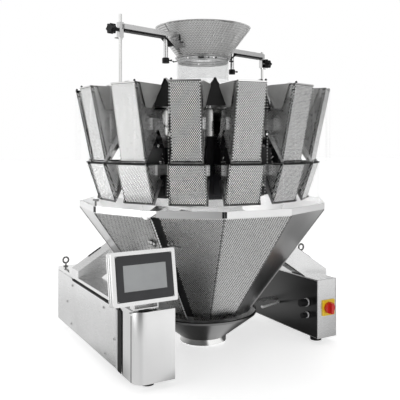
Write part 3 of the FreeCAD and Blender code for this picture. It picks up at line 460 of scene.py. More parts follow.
VARIANTS = {"discharge_funnel": OUTLET_STEEL, "eye_bolts": DARK_BRIGHT, "feeder_pans": PAN_STEEL,
            "hopper_backs": PAN_STEEL, "chute_panels": CHUTE_STEEL, "left_cabinet": COLUMN_STEEL,
            "infeed_funnel": FUNNEL_STEEL, "feed_hopper_sides": SIDE_STEEL,
            "weigh_hopper_sides": SIDE_STEEL}
VARIANTS.update({f"weigh_gate_{number:02d}": DARK_STEEL for number in range(1, HEADS + 1)})
SLOT_OF = {part["node"]: part["material_slot"] for part in frame["record"]["subparts"]}
for node, thing in NODES.items():
    thing.data.materials.clear()
    thing.data.materials.append(VARIANTS.get(node, MATERIALS[SLOT_OF[node]]))


def flat_faces(node, smallest):
    """Flat areas of a CAD node, each as its normal and its triangles, largest sheets only."""
    mesh = NODES[node].data
    mesh.calc_loop_triangles()
    points = np.array([vertex.co for vertex in mesh.vertices])
    corners = np.array([triangle.vertices for triangle in mesh.loop_triangles])
    triangles = points[corners]
    normals = np.cross(triangles[:, 1] - triangles[:, 0], triangles[:, 2] - triangles[:, 0])
    areas = np.linalg.norm(normals, axis=1) / 2
    keep = areas > 1e-9
    triangles = triangles[keep]
    areas = areas[keep]
    normals = normals[keep] / (2 * areas[:, None])
    offsets = np.einsum("ij,ij->i", normals, triangles[:, 0])
    groups = {}
    for index, (normal, offset) in enumerate(zip(normals, offsets)):
        key = tuple(np.round(normal, 3)) + (round(float(offset), 4),)
        groups.setdefault(key, []).append(index)
    found = []
    for members in groups.values():
        if areas[members].sum() >= smallest:
            found.append((normals[members[0]], triangles[members]))
    return found


def sheet_axes(normal):
    across = np.cross(normal, (0.0, 0.0, 1.0))
    across = across / np.linalg.norm(across)
    return across, np.cross(across, normal)


def inside(points, triangles):
    """Which of the flat points lie in any of the flat triangles."""
    found = np.zeros(len(points), bool)
    for a, b, c in triangles:
        signs = []
        for start, end in ((a, b), (b, c), (c, a)):
            edge = end - start
            signs.append(edge[0] * (points[:, 1] - start[1]) - edge[1] * (points[:, 0] - start[0]))
        low = np.minimum(np.minimum(signs[0], signs[1]), signs[2])
        high = np.maximum(np.maximum(signs[0], signs[1]), signs[2])
        found |= (low >= -1e-12) | (high <= 1e-12)
    return found


def rhombic_centres(low, high):
    """Centres of the dimple pattern within a flat rectangle."""
    columns = np.arange(math.ceil(2 * low[0] / DIMPLE_ACROSS), math.floor(2 * high[0] / DIMPLE_ACROSS) + 1)
    rows = np.arange(math.ceil(2 * low[1] / DIMPLE_ALONG), math.floor(2 * high[1] / DIMPLE_ALONG) + 1)
    column, row = (part.ravel() for part in np.meshgrid(columns, rows))
    even = (column + row) % 2 == 0
    return np.stack([column[even] * DIMPLE_ACROSS / 2, row[even] * DIMPLE_ALONG / 2], axis=-1)


DIMPLE_REACH = np.array([[DIMPLE_ACROSS / 2, 0], [0, DIMPLE_ALONG / 2],
                         [-DIMPLE_ACROSS / 2, 0], [0, -DIMPLE_ALONG / 2]]) * DIMPLE_SHARE
DIMPLE_SIDES = ((0, 1, 4), (1, 2, 4), (2, 3, 4), (3, 0, 4))


def dimple_faces(corners, tops):
    points = np.stack(corners + [tops], axis=1).reshape(-1, 3)
    starts = np.arange(len(tops))[:, None] * 5
    return points, np.concatenate([starts + np.array(side) for side in DIMPLE_SIDES])


def dimples_on(normal, triangles):
    """Low four-sided points in rhombic order over one flat sheet, clear of its edges."""
    across, along = sheet_axes(normal)
    flat = np.stack([triangles @ across, triangles @ along], axis=-1)
    centres = rhombic_centres(flat.reshape(-1, 2).min(0), flat.reshape(-1, 2).max(0))
    keep = np.ones(len(centres), bool)
    for step in DIMPLE_REACH:
        margin = step * (1 + EDGE_MARGIN / np.linalg.norm(step))
        keep &= inside(centres + margin, flat)
    centres = centres[keep]
    base = normal * (float(normal @ triangles[0, 0]) + DIMPLE_LIFT)

    def place(spots):
        return np.outer(spots[:, 0], across) + np.outer(spots[:, 1], along) + base

    return dimple_faces([place(centres + step) for step in DIMPLE_REACH],
                        place(centres) + normal * DIMPLE_HEIGHT)


def join_parts(parts):
    points = []
    faces = []
    count = 0
    for these, those in parts:
        points.append(np.asarray(these, float).reshape(-1, 3))
        faces.extend((np.asarray(those) + count).tolist())
        count += len(points[-1])
    return np.concatenate(points), faces


def dimple_piece(name, node, smallest, wanted, finish):
    parts = [dimples_on(normal, triangles) for normal, triangles in flat_faces(node, smallest)
             if abs(normal[2]) < 0.95 and wanted(normal, triangles.reshape(-1, 3).mean(0))]
    points, faces = join_parts([part for part in parts if len(part[0])])
    new_object(name, mesh_from(name, points, faces), finish, "machine")


def funnel_dimples():
    """The same pattern on the unrolled funnel, rolled up again; one section stays plain."""
    rise = FUNNEL_TOP[1] - FUNNEL_NECK[1]
    spread = FUNNEL_TOP[0] - FUNNEL_NECK[0]
    sine = spread / math.hypot(spread, rise)
    near = FUNNEL_NECK[0] / sine * MM
    far = FUNNEL_TOP[0] / sine * MM
    centres = rhombic_centres((-far, -far), (far, far))

    def polar(spots):
        return np.hypot(spots[:, 0], spots[:, 1]), np.arctan2(spots[:, 0], -spots[:, 1])

    distance, turn = polar(centres)
    bearing = np.degrees(turn) / sine
    plain = (bearing > PLAIN_FROM) & (bearing < PLAIN_TO)
    margin = DIMPLE_ALONG / 2
    keep = (distance > near + margin) & (distance < far - margin) & (abs(bearing) < 179) & ~plain
    centres = centres[keep]

    def place(spots, lift):
        length, angle = polar(spots)
        radius = length * sine + lift * math.sqrt(1 - sine * sine)
        height = FUNNEL_NECK[1] * MM + (length - near) * math.sqrt(1 - sine * sine) - lift * sine
        return np.stack([radius * np.sin(angle / sine), -radius * np.cos(angle / sine), height], axis=-1)

    points, faces = dimple_faces([place(centres + step, FUNNEL_LIFT) for step in DIMPLE_REACH],
                                 place(centres, DIMPLE_HEIGHT + FUNNEL_LIFT))
    mesh = mesh_from("funnel_dimples", points, faces)
    new_object("funnel_dimples", mesh, FUNNEL_POINTS, "infeed")


def faces_out(normal, centre):
    """Whether a sheet's face looks away from the machine's axis."""
    return normal[0] * centre[0] + normal[1] * centre[1] > 0


def patterned(normal, centre):
    """Whether a chute face is the outside of a patterned panel."""
    bearing = math.degrees(math.atan2(centre[0], -centre[1]))
    return faces_out(normal, centre) and (bearing - PATTERN_FROM) % 180.0 < 3 * SEAM_PITCH


def faces_off_head(normal, centre):
    """Whether a side plate's face looks away from its own head's middle plane."""
    bearing = math.atan2(centre[0], -centre[1])
    middle = FIRST_HEAD + HEAD_PITCH * round((bearing - FIRST_HEAD) / HEAD_PITCH)
    side = math.cos(middle) * centre[0] + math.sin(middle) * centre[1]
    facing = math.cos(middle) * normal[0] + math.sin(middle) * normal[1]
    return side * facing > 0


for kind, node, smallest, wanted, finish in (
        ("feed_front", "feed_hopper_fronts", 5e-3, faces_out, POINTS),
        ("weigh_front", "weigh_hopper_fronts", 4e-3, faces_out, POINTS),
        ("feed_side", "feed_hopper_sides", 4e-3, faces_off_head, POINTS),
        ("weigh_side", "weigh_hopper_sides", 2e-3, faces_off_head, POINTS),
        ("chute", "chute_panels", 4e-2, patterned, CHUTE_POINTS)):
    dimple_piece(kind + "_dimples", node, smallest, wanted, finish)
funnel_dimples()


def head(bearing, radius, height, side=0.0):
    """Point from millimetres in the frame of a head at a bearing in degrees."""
    turn = math.radians(bearing)
    return Vector((radius * math.sin(turn) + side * math.cos(turn),
                   -radius * math.cos(turn) + side * math.sin(turn), height)) * MM


def spot(x, y, z):
    return Vector((x, y, z)) * MM


class Pile:
    """Small solid shapes gathered into one mesh."""

    def __init__(self):
        self.parts = []

    def add(self, points, faces):
        triangles = [(face[0], face[k], face[k + 1]) for face in faces for k in range(1, len(face) - 1)]
        self.parts.append(([tuple(point) for point in points], triangles))

    def slab(self, corners, depth):
        """Flat outline with a thickness, given as a vector."""
        count = len(corners)
        points = list(corners) + [corner + depth for corner in corners]
        faces = [tuple(range(count))[::-1], tuple(range(count, 2 * count))]
        faces += [(k, (k + 1) % count, (k + 1) % count + count, k + count) for k in range(count)]
        self.add(points, faces)

    def beam(self, start, end, width, depth):
        """Rectangular bar; width and depth are vectors square to it, full size."""
        corner = start - width / 2 - depth / 2
        self.slab([corner, corner + width, corner + width + depth, corner + depth], end - start)

    def stick(self, start, end, radius, sides=10):
        axis = (end - start).normalized()
        first = axis.cross(UP if abs(axis.z) < 0.9 else Vector((1, 0, 0))).normalized()
        second = axis.cross(first)
        ring = [start + (first * math.cos(turn) + second * math.sin(turn)) * radius
                for turn in (2 * math.pi * k / sides for k in range(sides))]
        self.slab(ring, end - start)

    def ball(self, centre, radius, sides=8):
        points = [centre + UP * radius]
        rings = sides // 2
        for row in range(1, rings):
            polar = math.pi * row / rings
            for k in range(sides):
                turn = 2 * math.pi * k / sides
                points.append(centre + Vector((math.sin(polar) * math.cos(turn),
                                               math.sin(polar) * math.sin(turn), math.cos(polar))) * radius)
        points.append(centre - UP * radius)
        last = len(points) - 1
        faces = []
        for k in range(sides):
            after = (k + 1) % sides
            faces.append((0, 1 + k, 1 + after))
            for row in range(rings - 2):
                upper = 1 + row * sides
                faces.append((upper + k, upper + sides + k, upper + sides + after, upper + after))
            faces.append((last, last - sides + after, last - sides + k))
        self.add(points, faces)

    def make(self, name, material, body):
        points, faces = join_parts(self.parts)
        new_object(name, mesh_from(name, points, faces), material, body)


def edge_beads():
    """Bright points where the pattern is folded at both upright edges of each front."""
    pile = Pile()
    for node, smallest in (("feed_hopper_fronts", 5e-3), ("weigh_hopper_fronts", 4e-3)):
        for normal, triangles in flat_faces(node, smallest):
            if not faces_out(normal, triangles.reshape(-1, 3).mean(0)) or abs(normal[2]) > 0.95:
                continue
            across, along = sheet_axes(normal)
            flat = np.stack([triangles @ across, triangles @ along], axis=-1).reshape(-1, 2)
            low = flat.min(0)
            high = flat.max(0)
            base = normal * float(normal @ triangles[0, 0])
            steps = np.arange(math.ceil(low[1] / DIMPLE_ALONG), math.floor(high[1] / DIMPLE_ALONG) + 1)
            for step in steps:
                for edge in (low[0] + BEAD_R / 2, high[0] - BEAD_R / 2):
                    centre = across * edge + along * step * DIMPLE_ALONG + base
                    pile.ball(Vector(centre), BEAD_R, 6)
    pile.make("edge_beads", POINTS, "machine")


def rim_point(seam, side, height, back=0.0):
    """Point beside a chute seam, in the plane square to the seam's bearing."""
    share = (min(height, CHUTE_TOP[1]) - CHUTE_FOOT[1]) / (CHUTE_TOP[1] - CHUTE_FOOT[1])
    corner = CHUTE_FOOT[0] + share * (CHUTE_TOP[0] - CHUTE_FOOT[0])
    return head(seam, corner - back - abs(side) * math.tan(math.radians(SEAM_PITCH / 2)), height, side)


def chute_details():
    """Slots, folded edges, seam covers and latches on the outside of the chute."""
    black = Pile()
    # Painted shade: black slabs fill each slot and rim gap, where the openings show shade
    for seam in SLOT_SEAMS:
        outline = [rim_point(seam, side, height, back) for side, height, back in SLOT_OUTLINE]
        black.slab(outline, head(seam, -1.0, 0.0))
    rise = UP * RIM_GAP_HEIGHT * MM
    for seam in RIM_GAP_SEAMS:
        for side in (-8.5, 0.5):
            start = rim_point(seam, side, RIM_GAP_Z)
            end = rim_point(seam, side + 8.0, RIM_GAP_Z)
            black.slab([start, end, end + rise, start + rise], head(seam, 1.2, 0.0))
    black.make("chute_gaps", MATERIALS["black_metal"], "machine")

    bright = Pile()
    for seam in SLOT_SEAMS:
        bright.slab([rim_point(seam, side, height) for side, height in FOLD_OUTLINE], head(seam, 1.5, 0.0))
        for k in range(FOLD_BEADS):
            bright.ball(rim_point(seam, 11.5, 148 + FOLD_BEAD_PITCH * k, -1), 2.4 * MM, 6)
    bright.make("slot_fold", POINTS, "machine")

    covers = Pile()
    for k in range(12):
        seam = FIRST_SEAM + SEAM_PITCH * k
        if (seam - SLOT_SEAM) % 180.0 > 1.0:
            foot, top = (rim_point(seam, 0, height) for height in SEAM_COVER_Z)
            covers.stick(foot, top, SEAM_COVER_R, 6)
    covers.make("chute_seams", SEAM_STEEL, "machine")
    chute_latches()


def chute_latches():
    """Screws and levers beside the slots, and a latch on the rim at two other seams."""
    clips = Pile()
    for seam in SLOT_SEAMS:
        for side, height, radius in SLOT_SCREWS:
            start = rim_point(seam, side, height, -2)
            clips.stick(start, start + head(seam, radius + 4.0, 0.0), radius * MM)
        for low_side, high_side, height in SLOT_LEVERS:
            clips.stick(rim_point(seam, low_side, height, -4), rim_point(seam, high_side, height - 12, -4),
                        3 * MM)
    for seam in LATCH_SEAMS:
        base = rim_point(seam, 0, 600, 6) + UP * 2 * MM
        clips.stick(base, base + UP * 24 * MM, 4 * MM)
        bar = base + UP * 26 * MM
        clips.beam(bar - head(seam, 0.0, 0.0, 15.0), bar + head(seam, 0.0, 0.0, 19.0), UP * 8 * MM,
                   head(seam, 8.0, 0.0))
    clips.make("chute_latches", DARK_BRIGHT, "machine")


def support_details(black, bright, support):
    """Black strip under one funnel arm that paints the shade of its underside and slot, its bracket, its
    clamp screw and the knob under its tube.
    """
    bearing, post_r, clamp_z, arm_z, tube_r, knob_z = support
    outward = head(bearing, 1000.0, 0.0)
    sideways = head(bearing, 0.0, 0.0, 1000.0)
    inner = tube_r + 14
    # Painted shade: black strip along the underside of the arm
    black.beam(head(bearing, post_r - 12, arm_z - 4), head(bearing, inner, arm_z - 4),
               sideways * 30 * MM, UP * 7.5 * MM)
    black.beam(head(bearing, inner, arm_z - 4), head(bearing, tube_r - 30, arm_z - 36),
               sideways * 34 * MM, outward * 5 * MM)
    bright.stick(head(bearing, post_r, clamp_z - 4), head(bearing, post_r + 26, clamp_z - 4), 3 * MM)
    bright.stick(head(bearing, post_r, clamp_z - 7), head(bearing, post_r, clamp_z), 9 * MM)
    knob = head(bearing, tube_r, knob_z)
    black.stick(knob, knob + RIGHT * 22 * MM, 2.5 * MM)
    black.ball(knob + RIGHT * 22 * MM, 4.5 * MM)
    bright.stick(head(bearing, post_r - 60, arm_z + 19), head(bearing, post_r - 60, arm_z + 23), 5 * MM)


def infeed_details():
    """Small parts that slide with the funnel."""
    black = Pile()
    bright = Pile()
    for support in SUPPORTS:
        support_details(black, bright, support)
    bearing, post_r = SUPPORTS[1][:2]
    for heights in POST_BLOCKS:
        low, high = (head(bearing, post_r, height, -9) + RIGHT * 14 * MM for height in heights)
        black.beam(low, high, RIGHT * 14 * MM, AHEAD * 18 * MM)
    for start, end in LATCH_RODS:
        black.stick(head(LATCH_BEARING, *start), head(LATCH_BEARING, *end), 3 * MM)
    for offset in NECK_BOLTS:
        bearing = offset - math.degrees(CAMERA_AZIMUTH)
        pile = black if offset in BLACK_BOLTS else bright
        pile.stick(head(bearing, 104, BOLT_Z), head(bearing, 112.5, BOLT_Z),
                   (4.0 if offset in WIDE_BOLTS else 3.2) * MM)
    for side in (-1, 1):
        start = spot(0, 0, 1193) + RIGHT * side * 112 * MM
        black.stick(start, start + RIGHT * side * 16 * MM - UP * 3 * MM, 2.2 * MM)
        black.ball(start + RIGHT * side * 16 * MM, 3.5 * MM)
    for bearing in (PLAIN_FROM, PLAIN_TO):
        black.beam(head(bearing, FUNNEL_NECK[0] + 1, FUNNEL_NECK[1] + 2),
                   head(bearing, FUNNEL_TOP[0] - 1, FUNNEL_TOP[1] - 3),
                   head(bearing, 0.0, 0.0, 1.0), head(bearing, 1.5, 0.0))
    black.make("infeed_black_parts", MATERIALS["black_plastic"], "infeed")
    bright.make("infeed_bright_parts", MATERIALS["polished_steel"], "infeed")


def drive_details(bright, rollers, bearing):
    """Shafts, rollers, screws, springs and hinge pins on the face of one drive unit."""
    for root, tip, roller in SHAFTS:
        for side in (-32.5, 32.5):
            bright.stick(head(bearing, 357, root, side), head(bearing, 363, tip, side), 6 * MM)
        rollers.stick(head(bearing, 364, roller), head(bearing, 372, roller), 9 * MM, 12)
    for side, height in DRIVE_SCREWS:
        root, tip = (head(bearing, radius, height, side) for radius in (DRIVE_FACE_R - 6, DRIVE_FACE_R))
        bright.stick(root, tip, 3.5 * MM, 8)
    for side in (-1, 1):
        bright.stick(head(bearing, DRIVE_FACE_R - 6, 780, side * 38), head(bearing, 352, 792, side * 38),
                     3 * MM, 8)
        for coil in range(SPRING_COILS):
            low = head(bearing, 349, SPRING_TOP_Z - SPRING_PITCH * coil, side * 34)
            bright.stick(low, low + head(bearing, 0.0, 3.0, 0.0), 5.5 * MM, 8)
        for height in HINGE_PINS:
            bright.stick(head(bearing, HINGE_PIN_R, height, side * 53),
                         head(bearing, HINGE_PIN_R, height, side * 57), 3.2 * MM, 8)


def hopper_trim(bright, black, wings, bearing, button_side):
    """Edge strips, button and flared corner plates of one head; the black strip on the weigh front is a
    painted shadow.
    """
    black.ball(head(bearing, 526, 1061, button_side), 4.5 * MM)
    bright.beam(head(bearing, *FEED_EDGE, -54.5), head(bearing, *FEED_EDGE, 54.5), UP * 4.4 * MM,
                head(bearing, 1.2, 0.0))
    # Painted shadow: black strip along the weigh front's upper edge, for the gap under the feed hopper
    black.beam(head(bearing, *WEIGH_EDGE, -66), head(bearing, *WEIGH_EDGE, 66), UP * 6.5 * MM,
               head(bearing, 1.4, 0.0))
    for side in (-1, 1):
        corners = [head(bearing, radius, height, side * across) for radius, height, across in WING_CORNERS]
        wings.slab(corners, head(bearing, 0.0, 0.0, side * 1.5))


def head_details():
    """Small parts of every head, and of the seam between its pan and the next."""
    bright = Pile()
    rollers = Pile()
    black = Pile()
    wings = Pile()
    for k in range(HEADS):
        bearing = math.degrees(FIRST_HEAD + HEAD_PITCH * k)
        seam = bearing + math.degrees(HEAD_PITCH) / 2
        bright.beam(head(seam, 402, 1079.5), head(seam, 300, 1050.5), head(seam, 0.0, 0.0, 4.0),
                    UP * 1.5 * MM)
        drive_details(bright, rollers, bearing)
        hopper_trim(bright, black, wings, bearing, 51 if k % 2 else -47)
        # Painted shade: a black plate between neighbouring pans
        black.slab([head(seam, SEAM_PLATE_R, height, side) for height, side in SEAM_PLATE],
                   head(seam, 1.2, 0.0))
    bright.make("drive_bright_parts", MATERIALS["polished_steel"], "machine")
    rollers.make("drive_rollers", MATERIALS["polished_steel"], "machine")
    black.make("hopper_trim", MATERIALS["black_rubber"], "machine")
    wings.make("hopper_wings", WING_STEEL, "machine")


def cover_details(black, bright):
    """Screws of the left cabinet's side cover; black strips that paint the shadow in its gaps and a shade
    band on the column; a bright edge strip that paints a highlight along the cover; and the display's neck.
    """
    out = spot(-1, 0, 0)
    for y, z in COVER_SCREWS:
        bright.stick(spot(COVER_X, y, z), spot(COVER_X - 2.5, y, z), 5.5 * MM, 14)
        black.stick(spot(COVER_X - 2.4, y, z), spot(COVER_X - 3, y, z), 3.5 * MM, 6)
    # Painted highlight: bright strip along the side cover's near edge
    bright.beam(spot(COVER_X - 0.8, -218, 33), spot(COVER_X - 0.8, -218, 246), spot(0, 17, 0), out * 1.6)
    # Painted shade: black strips in the gap beside the cover, as a band on the column's curved front, and
    # in the gap along the cover's top
    black.beam(spot(COVER_X - 0.6, -245, 30), spot(COVER_X - 0.6, -245, 250), spot(0, 35, 0), out * 1.2)
    black.beam(spot(COLUMN_X, -343, 27), spot(COLUMN_X, -343, 254), spot(0, 3.6, 0), out * 0.8)
    black.beam(spot(COVER_X - 1, -240, 252.0), spot(COVER_X - 1, 300, 252.0), spot(0, 0, 8.0), out * 1.6)
    black.stick(spot(DISPLAY_X, -353, 272), spot(DISPLAY_X, -353, 277.5), 20 * MM, 16)
    black.beam(spot(DISPLAY_X - 60, -366, 271.4), spot(DISPLAY_X + 40, -366, 271.4), spot(0, 8, 0),
               spot(0, 0, 0.8))


def cabinet_details(bright):
    """Edge strips that paint highlights along the right cabinet's front edges, its handle, and socket rings
    that paint highlights on the sockets.
    """
    low_x, high_x = CABINET_EDGE_X
    # Painted highlight: bright strips up both front edges and along the top edge
    for x in CABINET_EDGE_X:
        bright.beam(spot(x, CABINET_EDGE_Y, 28), spot(x, CABINET_EDGE_Y, 270), spot(3, 0, 0), spot(0, 3, 0))
    bright.beam(spot(low_x, CABINET_EDGE_Y, 271), spot(high_x, CABINET_EDGE_Y, 271), spot(0, 3, 0),
                spot(0, 0, 3))
    bright.stick(spot(191, -166, 155), spot(205, -150, 147), 5 * MM)
    bright.stick(spot(205, -150, 147), spot(376, -36, 121), 5 * MM)
    # Painted highlight: a bright ring in each black socket
    for y, z, radius in SOCKETS:
        bright.stick(spot(373.4, y, z), spot(368, y, z), radius * 0.95 * MM, 12)


def leg_strips(black, side, outer_y):
    """Dark strips along one inclined leg, on the leg's own slope."""
    inward = -math.copysign(1, outer_y) * math.tan(math.radians(LEG_YAW))
    for strip, edge in ((LEG_TOP_STRIP, -side * LEG_HALF_WIDTH), (LEG_FOOT_STRIP, -LEG_HALF_WIDTH)):
        low_x, high_x, base_x, base_z = strip
        points = []
        for x in (low_x, high_x):
            y = outer_y + inward * (LEG_OUTER_X - x) + edge
            points.append(spot(side * x, y, base_z + (base_x - x) * math.tan(math.radians(LEG_SLOPE))))
        black.beam(points[0], points[1], spot(0, 7, 0), spot(0, 0, 3.4))


def base_details():
    """Small parts of both cabinets and the legs, and a near-black sheet on the right cabinet's inner side
    as painted shade.
    """
    black = Pile()
    bright = Pile()
    cover_details(black, bright)
    cabinet_details(bright)
    for side in (-1, 1):
        for outer_y in LEG_OUTER_Y:
            leg_strips(black, side, outer_y)
    black.make("base_black_parts", MATERIALS["black_rubber"], "machine")
    bright.make("base_bright_parts", SATIN, "machine")

    # Painted shade: a thin near-black sheet over the right cabinet's inner side
    shade = Pile()
    shade.beam(spot(INNER_SIDE_X, -298, 148), spot(INNER_SIDE_X, 430, 148), spot(0, 0, 236),
               spot(0.5, 0, 0))
    shade.make("inner_side_shade_sheet", INNER_SHADE_STEEL, "machine")


def on_display(x, forward, up):
    """Point by its place on the display's upright front, before it leans back."""
    lean = math.cos(DISPLAY_TILT), math.sin(DISPLAY_TILT)
    return spot(DISPLAY_X + x, DISPLAY_FRONT_Y - forward * lean[0] + up * lean[1],
                DISPLAY_BOTTOM_Z + forward * lean[1] + up * lean[0])


def front_plate(pile, across, height, near, far):
    """Rectangle on the display's front, from one depth to another."""
    corners = [on_display(across[i], near, height[j]) for i, j in ((0, 0), (1, 0), (1, 1), (0, 1))]
    pile.slab(corners, on_display(0, far, 0) - on_display(0, near, 0))


def display_details():
    """Screen glass, the lines round the bezel and the two lines along the housing's left side."""
    glass = Pile()
    front_plate(glass, (-79, 79), (46.5, 133.5), 2.2, 2.6)
    glass.make("screen_glass", SCREEN_GLASS, "display")
    line = Pile()
    half = BEZEL_LINE / 2
    for up in (14.2, 165.8):
        front_plate(line, (-104, 104), (up - half, up + half), 0.4, 1.4)
    for x in (-104.3, 104.3):
        front_plate(line, (x - half, x + half), (15, 165), 0.4, 1.4)
    for depth in (-16.0, -34.0):
        corners = [on_display(-118.4, forward, up)
                   for forward, up in ((depth, 6), (depth - 2.2, 6), (depth - 2.2, 174), (depth, 174))]
        line.slab(corners, on_display(-0.5, 0, 0) - on_display(0, 0, 0))
    line.make("display_lines", MATERIALS["dark_screen"], "display")


edge_beads()
chute_details()
infeed_details()
head_details()
base_details()
display_details()


# Lamps inside the chute, in watts and metres; their place is a head's, in millimetres
INNER_POWER = 0.9
INNER_SIZE = 0.05
INNER_PLACE = (330, 585)

# What the steel mirrors, by bearing: degrees to the right of the direction from the object to the camera,
# and the level there, with 1 as white
HORIZON = ((-180, 0.8), (-60, 1.0), (-18, 1.1), (-10, 0.9), (-5, 0.10), (8, 0.10), (18, 1.0),
           (60, 1.0), (120, 0.6), (180, 0.8))
FAR_FLOOR = ((-180, 0.8), (-116, 1.2), (-76, 4.2), (-50, 2.6), (-32, 0.6), (-24, 0.05), (-4, 0.05),
             (6, 0.6), (25, 0.95), (38, 0.85), (60, 1.0), (90, 1.1), (140, 0.95), (180, 0.8))
NEAR_FLOOR = ((-180, 1.0), (-120, 1.0), (-95, 0.5), (-40, 0.10), (0, 0.06), (12, 0.10), (20, 0.95),
              (66, 0.95), (80, 0.06), (125, 0.06), (150, 0.5), (180, 1.0))
MIDDLE_FLOOR = ((-180, 0.9), (-120, 0.62), (-60, 0.60), (-20, 0.62), (10, 0.72), (60, 1.0), (85, 0.3),
                (100, 0.1), (125, 0.1), (150, 0.5), (180, 0.9))
WALLS = ((-180, 1.0), (-122, 0.85), (-65, 1.0), (-22, 0.9), (-14, 0.08), (10, 0.08), (22, 1.6),
         (45, 1.2), (62, 1.0), (90, 0.6), (120, 0.3), (150, 0.4), (180, 1.0))
# Where one zone of the floor passes into the next, by distance from the machine's axis: the middle zone's
# stops in metres, the others as shares of the span below them
TO_MIDDLE = ((0.51, 0.0), (0.59, 1.0))
TO_FAR = ((0.58, 0.0), (0.80, 1.0))
FAR_SPAN = 2.0
FAR_FADE = ((0.45, 0.65), (0.65, 1.0))
FADE_SPAN = 4.0
TO_HORIZON = ((0.50, 0.0), (0.75, 1.0))
HORIZON_SPAN = 8.0
# Level of the walls by height, from the horizon to straight up
CEILING = ((0.35, 1.0), (0.62, 0.24), (0.86, 0.24), (0.95, 1.0))
FLOOR_GLOW = 0.62
FLOOR_HALF = 30.0


def add_camera():
    camera = bpy.data.cameras.new("camera")
    holder = bpy.data.objects.new("camera", camera)
    bpy.context.scene.collection.objects.link(holder)
    holder.location = -AHEAD * CAMERA_DISTANCE + UP * CAMERA_HEIGHT
    holder.rotation_euler = (math.pi / 2, 0.0, -CAMERA_AZIMUTH)
    camera.sensor_width = SENSOR
    camera.lens = SENSOR * FOCAL_PX / PHOTO_SIZE
    camera.shift_x = (PHOTO_SIZE / 2 - AXIS_PX) / PHOTO_SIZE
    camera.shift_y = (HORIZON_PX - PHOTO_SIZE / 2) / PHOTO_SIZE
    bpy.context.scene.camera = holder


def add_area(name, place, target, size, power):
    light = bpy.data.lights.new(name, "AREA")
    light.shape = "RECTANGLE"
    light.size, light.size_y = size
    light.energy = power
    holder = bpy.data.objects.new(name, light)
    bpy.context.scene.collection.objects.link(holder)
    holder.location = from_camera(*place)
    holder.rotation_mode = "QUATERNION"
    holder.rotation_quaternion = (Vector(target) - holder.location).to_track_quat("-Z", "Y")
    return holder


def from_camera(right, ahead, up):
    """Point by its place to the camera's right of the axis, beyond it and above the floor."""
    return RIGHT * right + AHEAD * ahead + UP * up


def add_inner_lights():
    """Soft lights under every second weigh hopper, for the inside of the chute."""
    for k in range(0, HEADS, 2):
        light = bpy.data.lights.new("inner", "POINT")
        light.energy = INNER_POWER
        light.shadow_soft_size = INNER_SIZE
        holder = bpy.data.objects.new("inner", light)
        bpy.context.scene.collection.objects.link(holder)
        holder.location = head(math.degrees(FIRST_HEAD + HEAD_PITCH * k), *INNER_PLACE)
        holder.visible_camera = False
        holder.visible_glossy = False


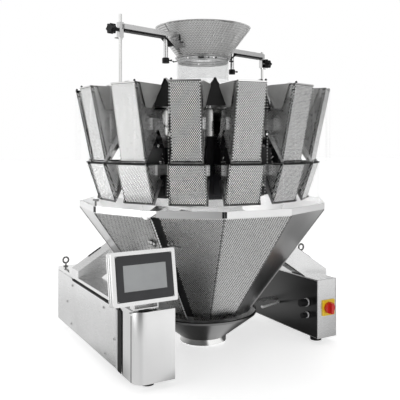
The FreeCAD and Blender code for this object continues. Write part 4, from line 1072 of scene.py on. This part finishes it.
def add_floor():
    """Plain pale floor; what it shows to the steel changes with bearing and distance."""
    made = Finish("floor")
    path = made.add("ShaderNodeLightPath")
    place = made.add("ShaderNodeTexCoord").outputs["Object"]
    seen = made.math("MAXIMUM", path.outputs["Is Camera Ray"], path.outputs["Is Transmission Ray"])
    length = made.vector("LENGTH", made.vector("MULTIPLY", place, (1.0, 1.0, 0.0)))
    middle_share = made.ramp(length, TO_MIDDLE)
    near = made.mix(middle_share, made.bearing_level(place, NEAR_FLOOR),
                    made.bearing_level(place, MIDDLE_FLOOR))
    far_share = made.ramp(made.math("DIVIDE", length, FAR_SPAN), TO_FAR)
    fade = made.ramp(made.math("DIVIDE", length, FADE_SPAN), FAR_FADE)
    far = made.math("MULTIPLY", made.bearing_level(place, FAR_FLOOR), fade)
    horizon_share = made.ramp(made.math("DIVIDE", length, HORIZON_SPAN), TO_HORIZON)
    level = made.mix(far_share, near, made.mix(horizon_share, far, made.bearing_level(place, HORIZON)))
    mirrored = made.math("MULTIPLY", level, path.outputs["Is Glossy Ray"])
    strength = made.math("ADD", made.math("MULTIPLY", seen, FLOOR_GLOW), mirrored)
    glow = made.add("ShaderNodeEmission")
    glow.inputs["Color"].default_value = (1.0, 1.0, 1.0, 1.0)
    made.link(strength, glow.inputs["Strength"])
    tone = made.math("MULTIPLY_ADD", path.outputs["Is Glossy Ray"], -0.65, 0.80)
    grey = made.add("ShaderNodeCombineColor")
    for socket in grey.inputs[:3]:
        made.link(tone, socket)
    both = made.add("ShaderNodeAddShader")
    made.set(Base_Color=grey.outputs[0], Roughness=0.45)
    made.shader.inputs["Specular IOR Level"].default_value = 0.25
    made.link(made.shader.outputs[0], both.inputs[0])
    made.link(glow.outputs[0], both.inputs[1])
    made.link(both.outputs[0], made.output.inputs["Surface"])
    corners = [(x * FLOOR_HALF, y * FLOOR_HALF, 0) for x, y in ((-1, -1), (1, -1), (1, 1), (-1, 1))]
    mesh = mesh_from("floor", corners, [(0, 1, 2, 3)])
    mesh.materials.append(made.material)
    floor = bpy.data.objects.new("floor", mesh)
    bpy.context.scene.collection.objects.link(floor)


def add_world():
    """Studio walls that the steel mirrors, and a white background wherever it is seen."""
    world = bpy.data.worlds.new("studio")
    bpy.context.scene.world = world
    world.use_nodes = True
    made = Tree(world.node_tree)
    back = made.tree.nodes["Background"]
    path = made.add("ShaderNodeLightPath")
    place = made.add("ShaderNodeTexCoord").outputs["Generated"]
    height = made.vector("DOT_PRODUCT", place, UP)
    level = made.math("MULTIPLY", made.bearing_level(place, WALLS), made.ramp(height, CEILING))
    seen = made.math("MAXIMUM", path.outputs["Is Camera Ray"], path.outputs["Is Transmission Ray"])
    pick = made.add("ShaderNodeMix")
    made.link(seen, pick.inputs["Factor"])
    made.link(level, pick.inputs[2])
    pick.inputs[3].default_value = 1.0
    made.link(pick.outputs[0], back.inputs["Strength"])
    back.inputs["Color"].default_value = (1.0, 1.0, 1.0, 1.0)


add_camera()
add_floor()
add_world()
add_area("key", (-2.2, -1.6, 2.6), (0, 0, 0.7), (2.4, 2.4), 7.0)
add_area("top", (0.0, 0.4, 3.4), (0, 0, 0.8), (2.2, 2.2), 30.0)
fill = add_area("fill", (0.4, -2.4, 0.35), (0, 0, 1.25), (1.6, 1.0), 14.0)
fill.visible_glossy = False
add_inner_lights()
bpy.context.scene.view_settings.view_transform = "Standard"
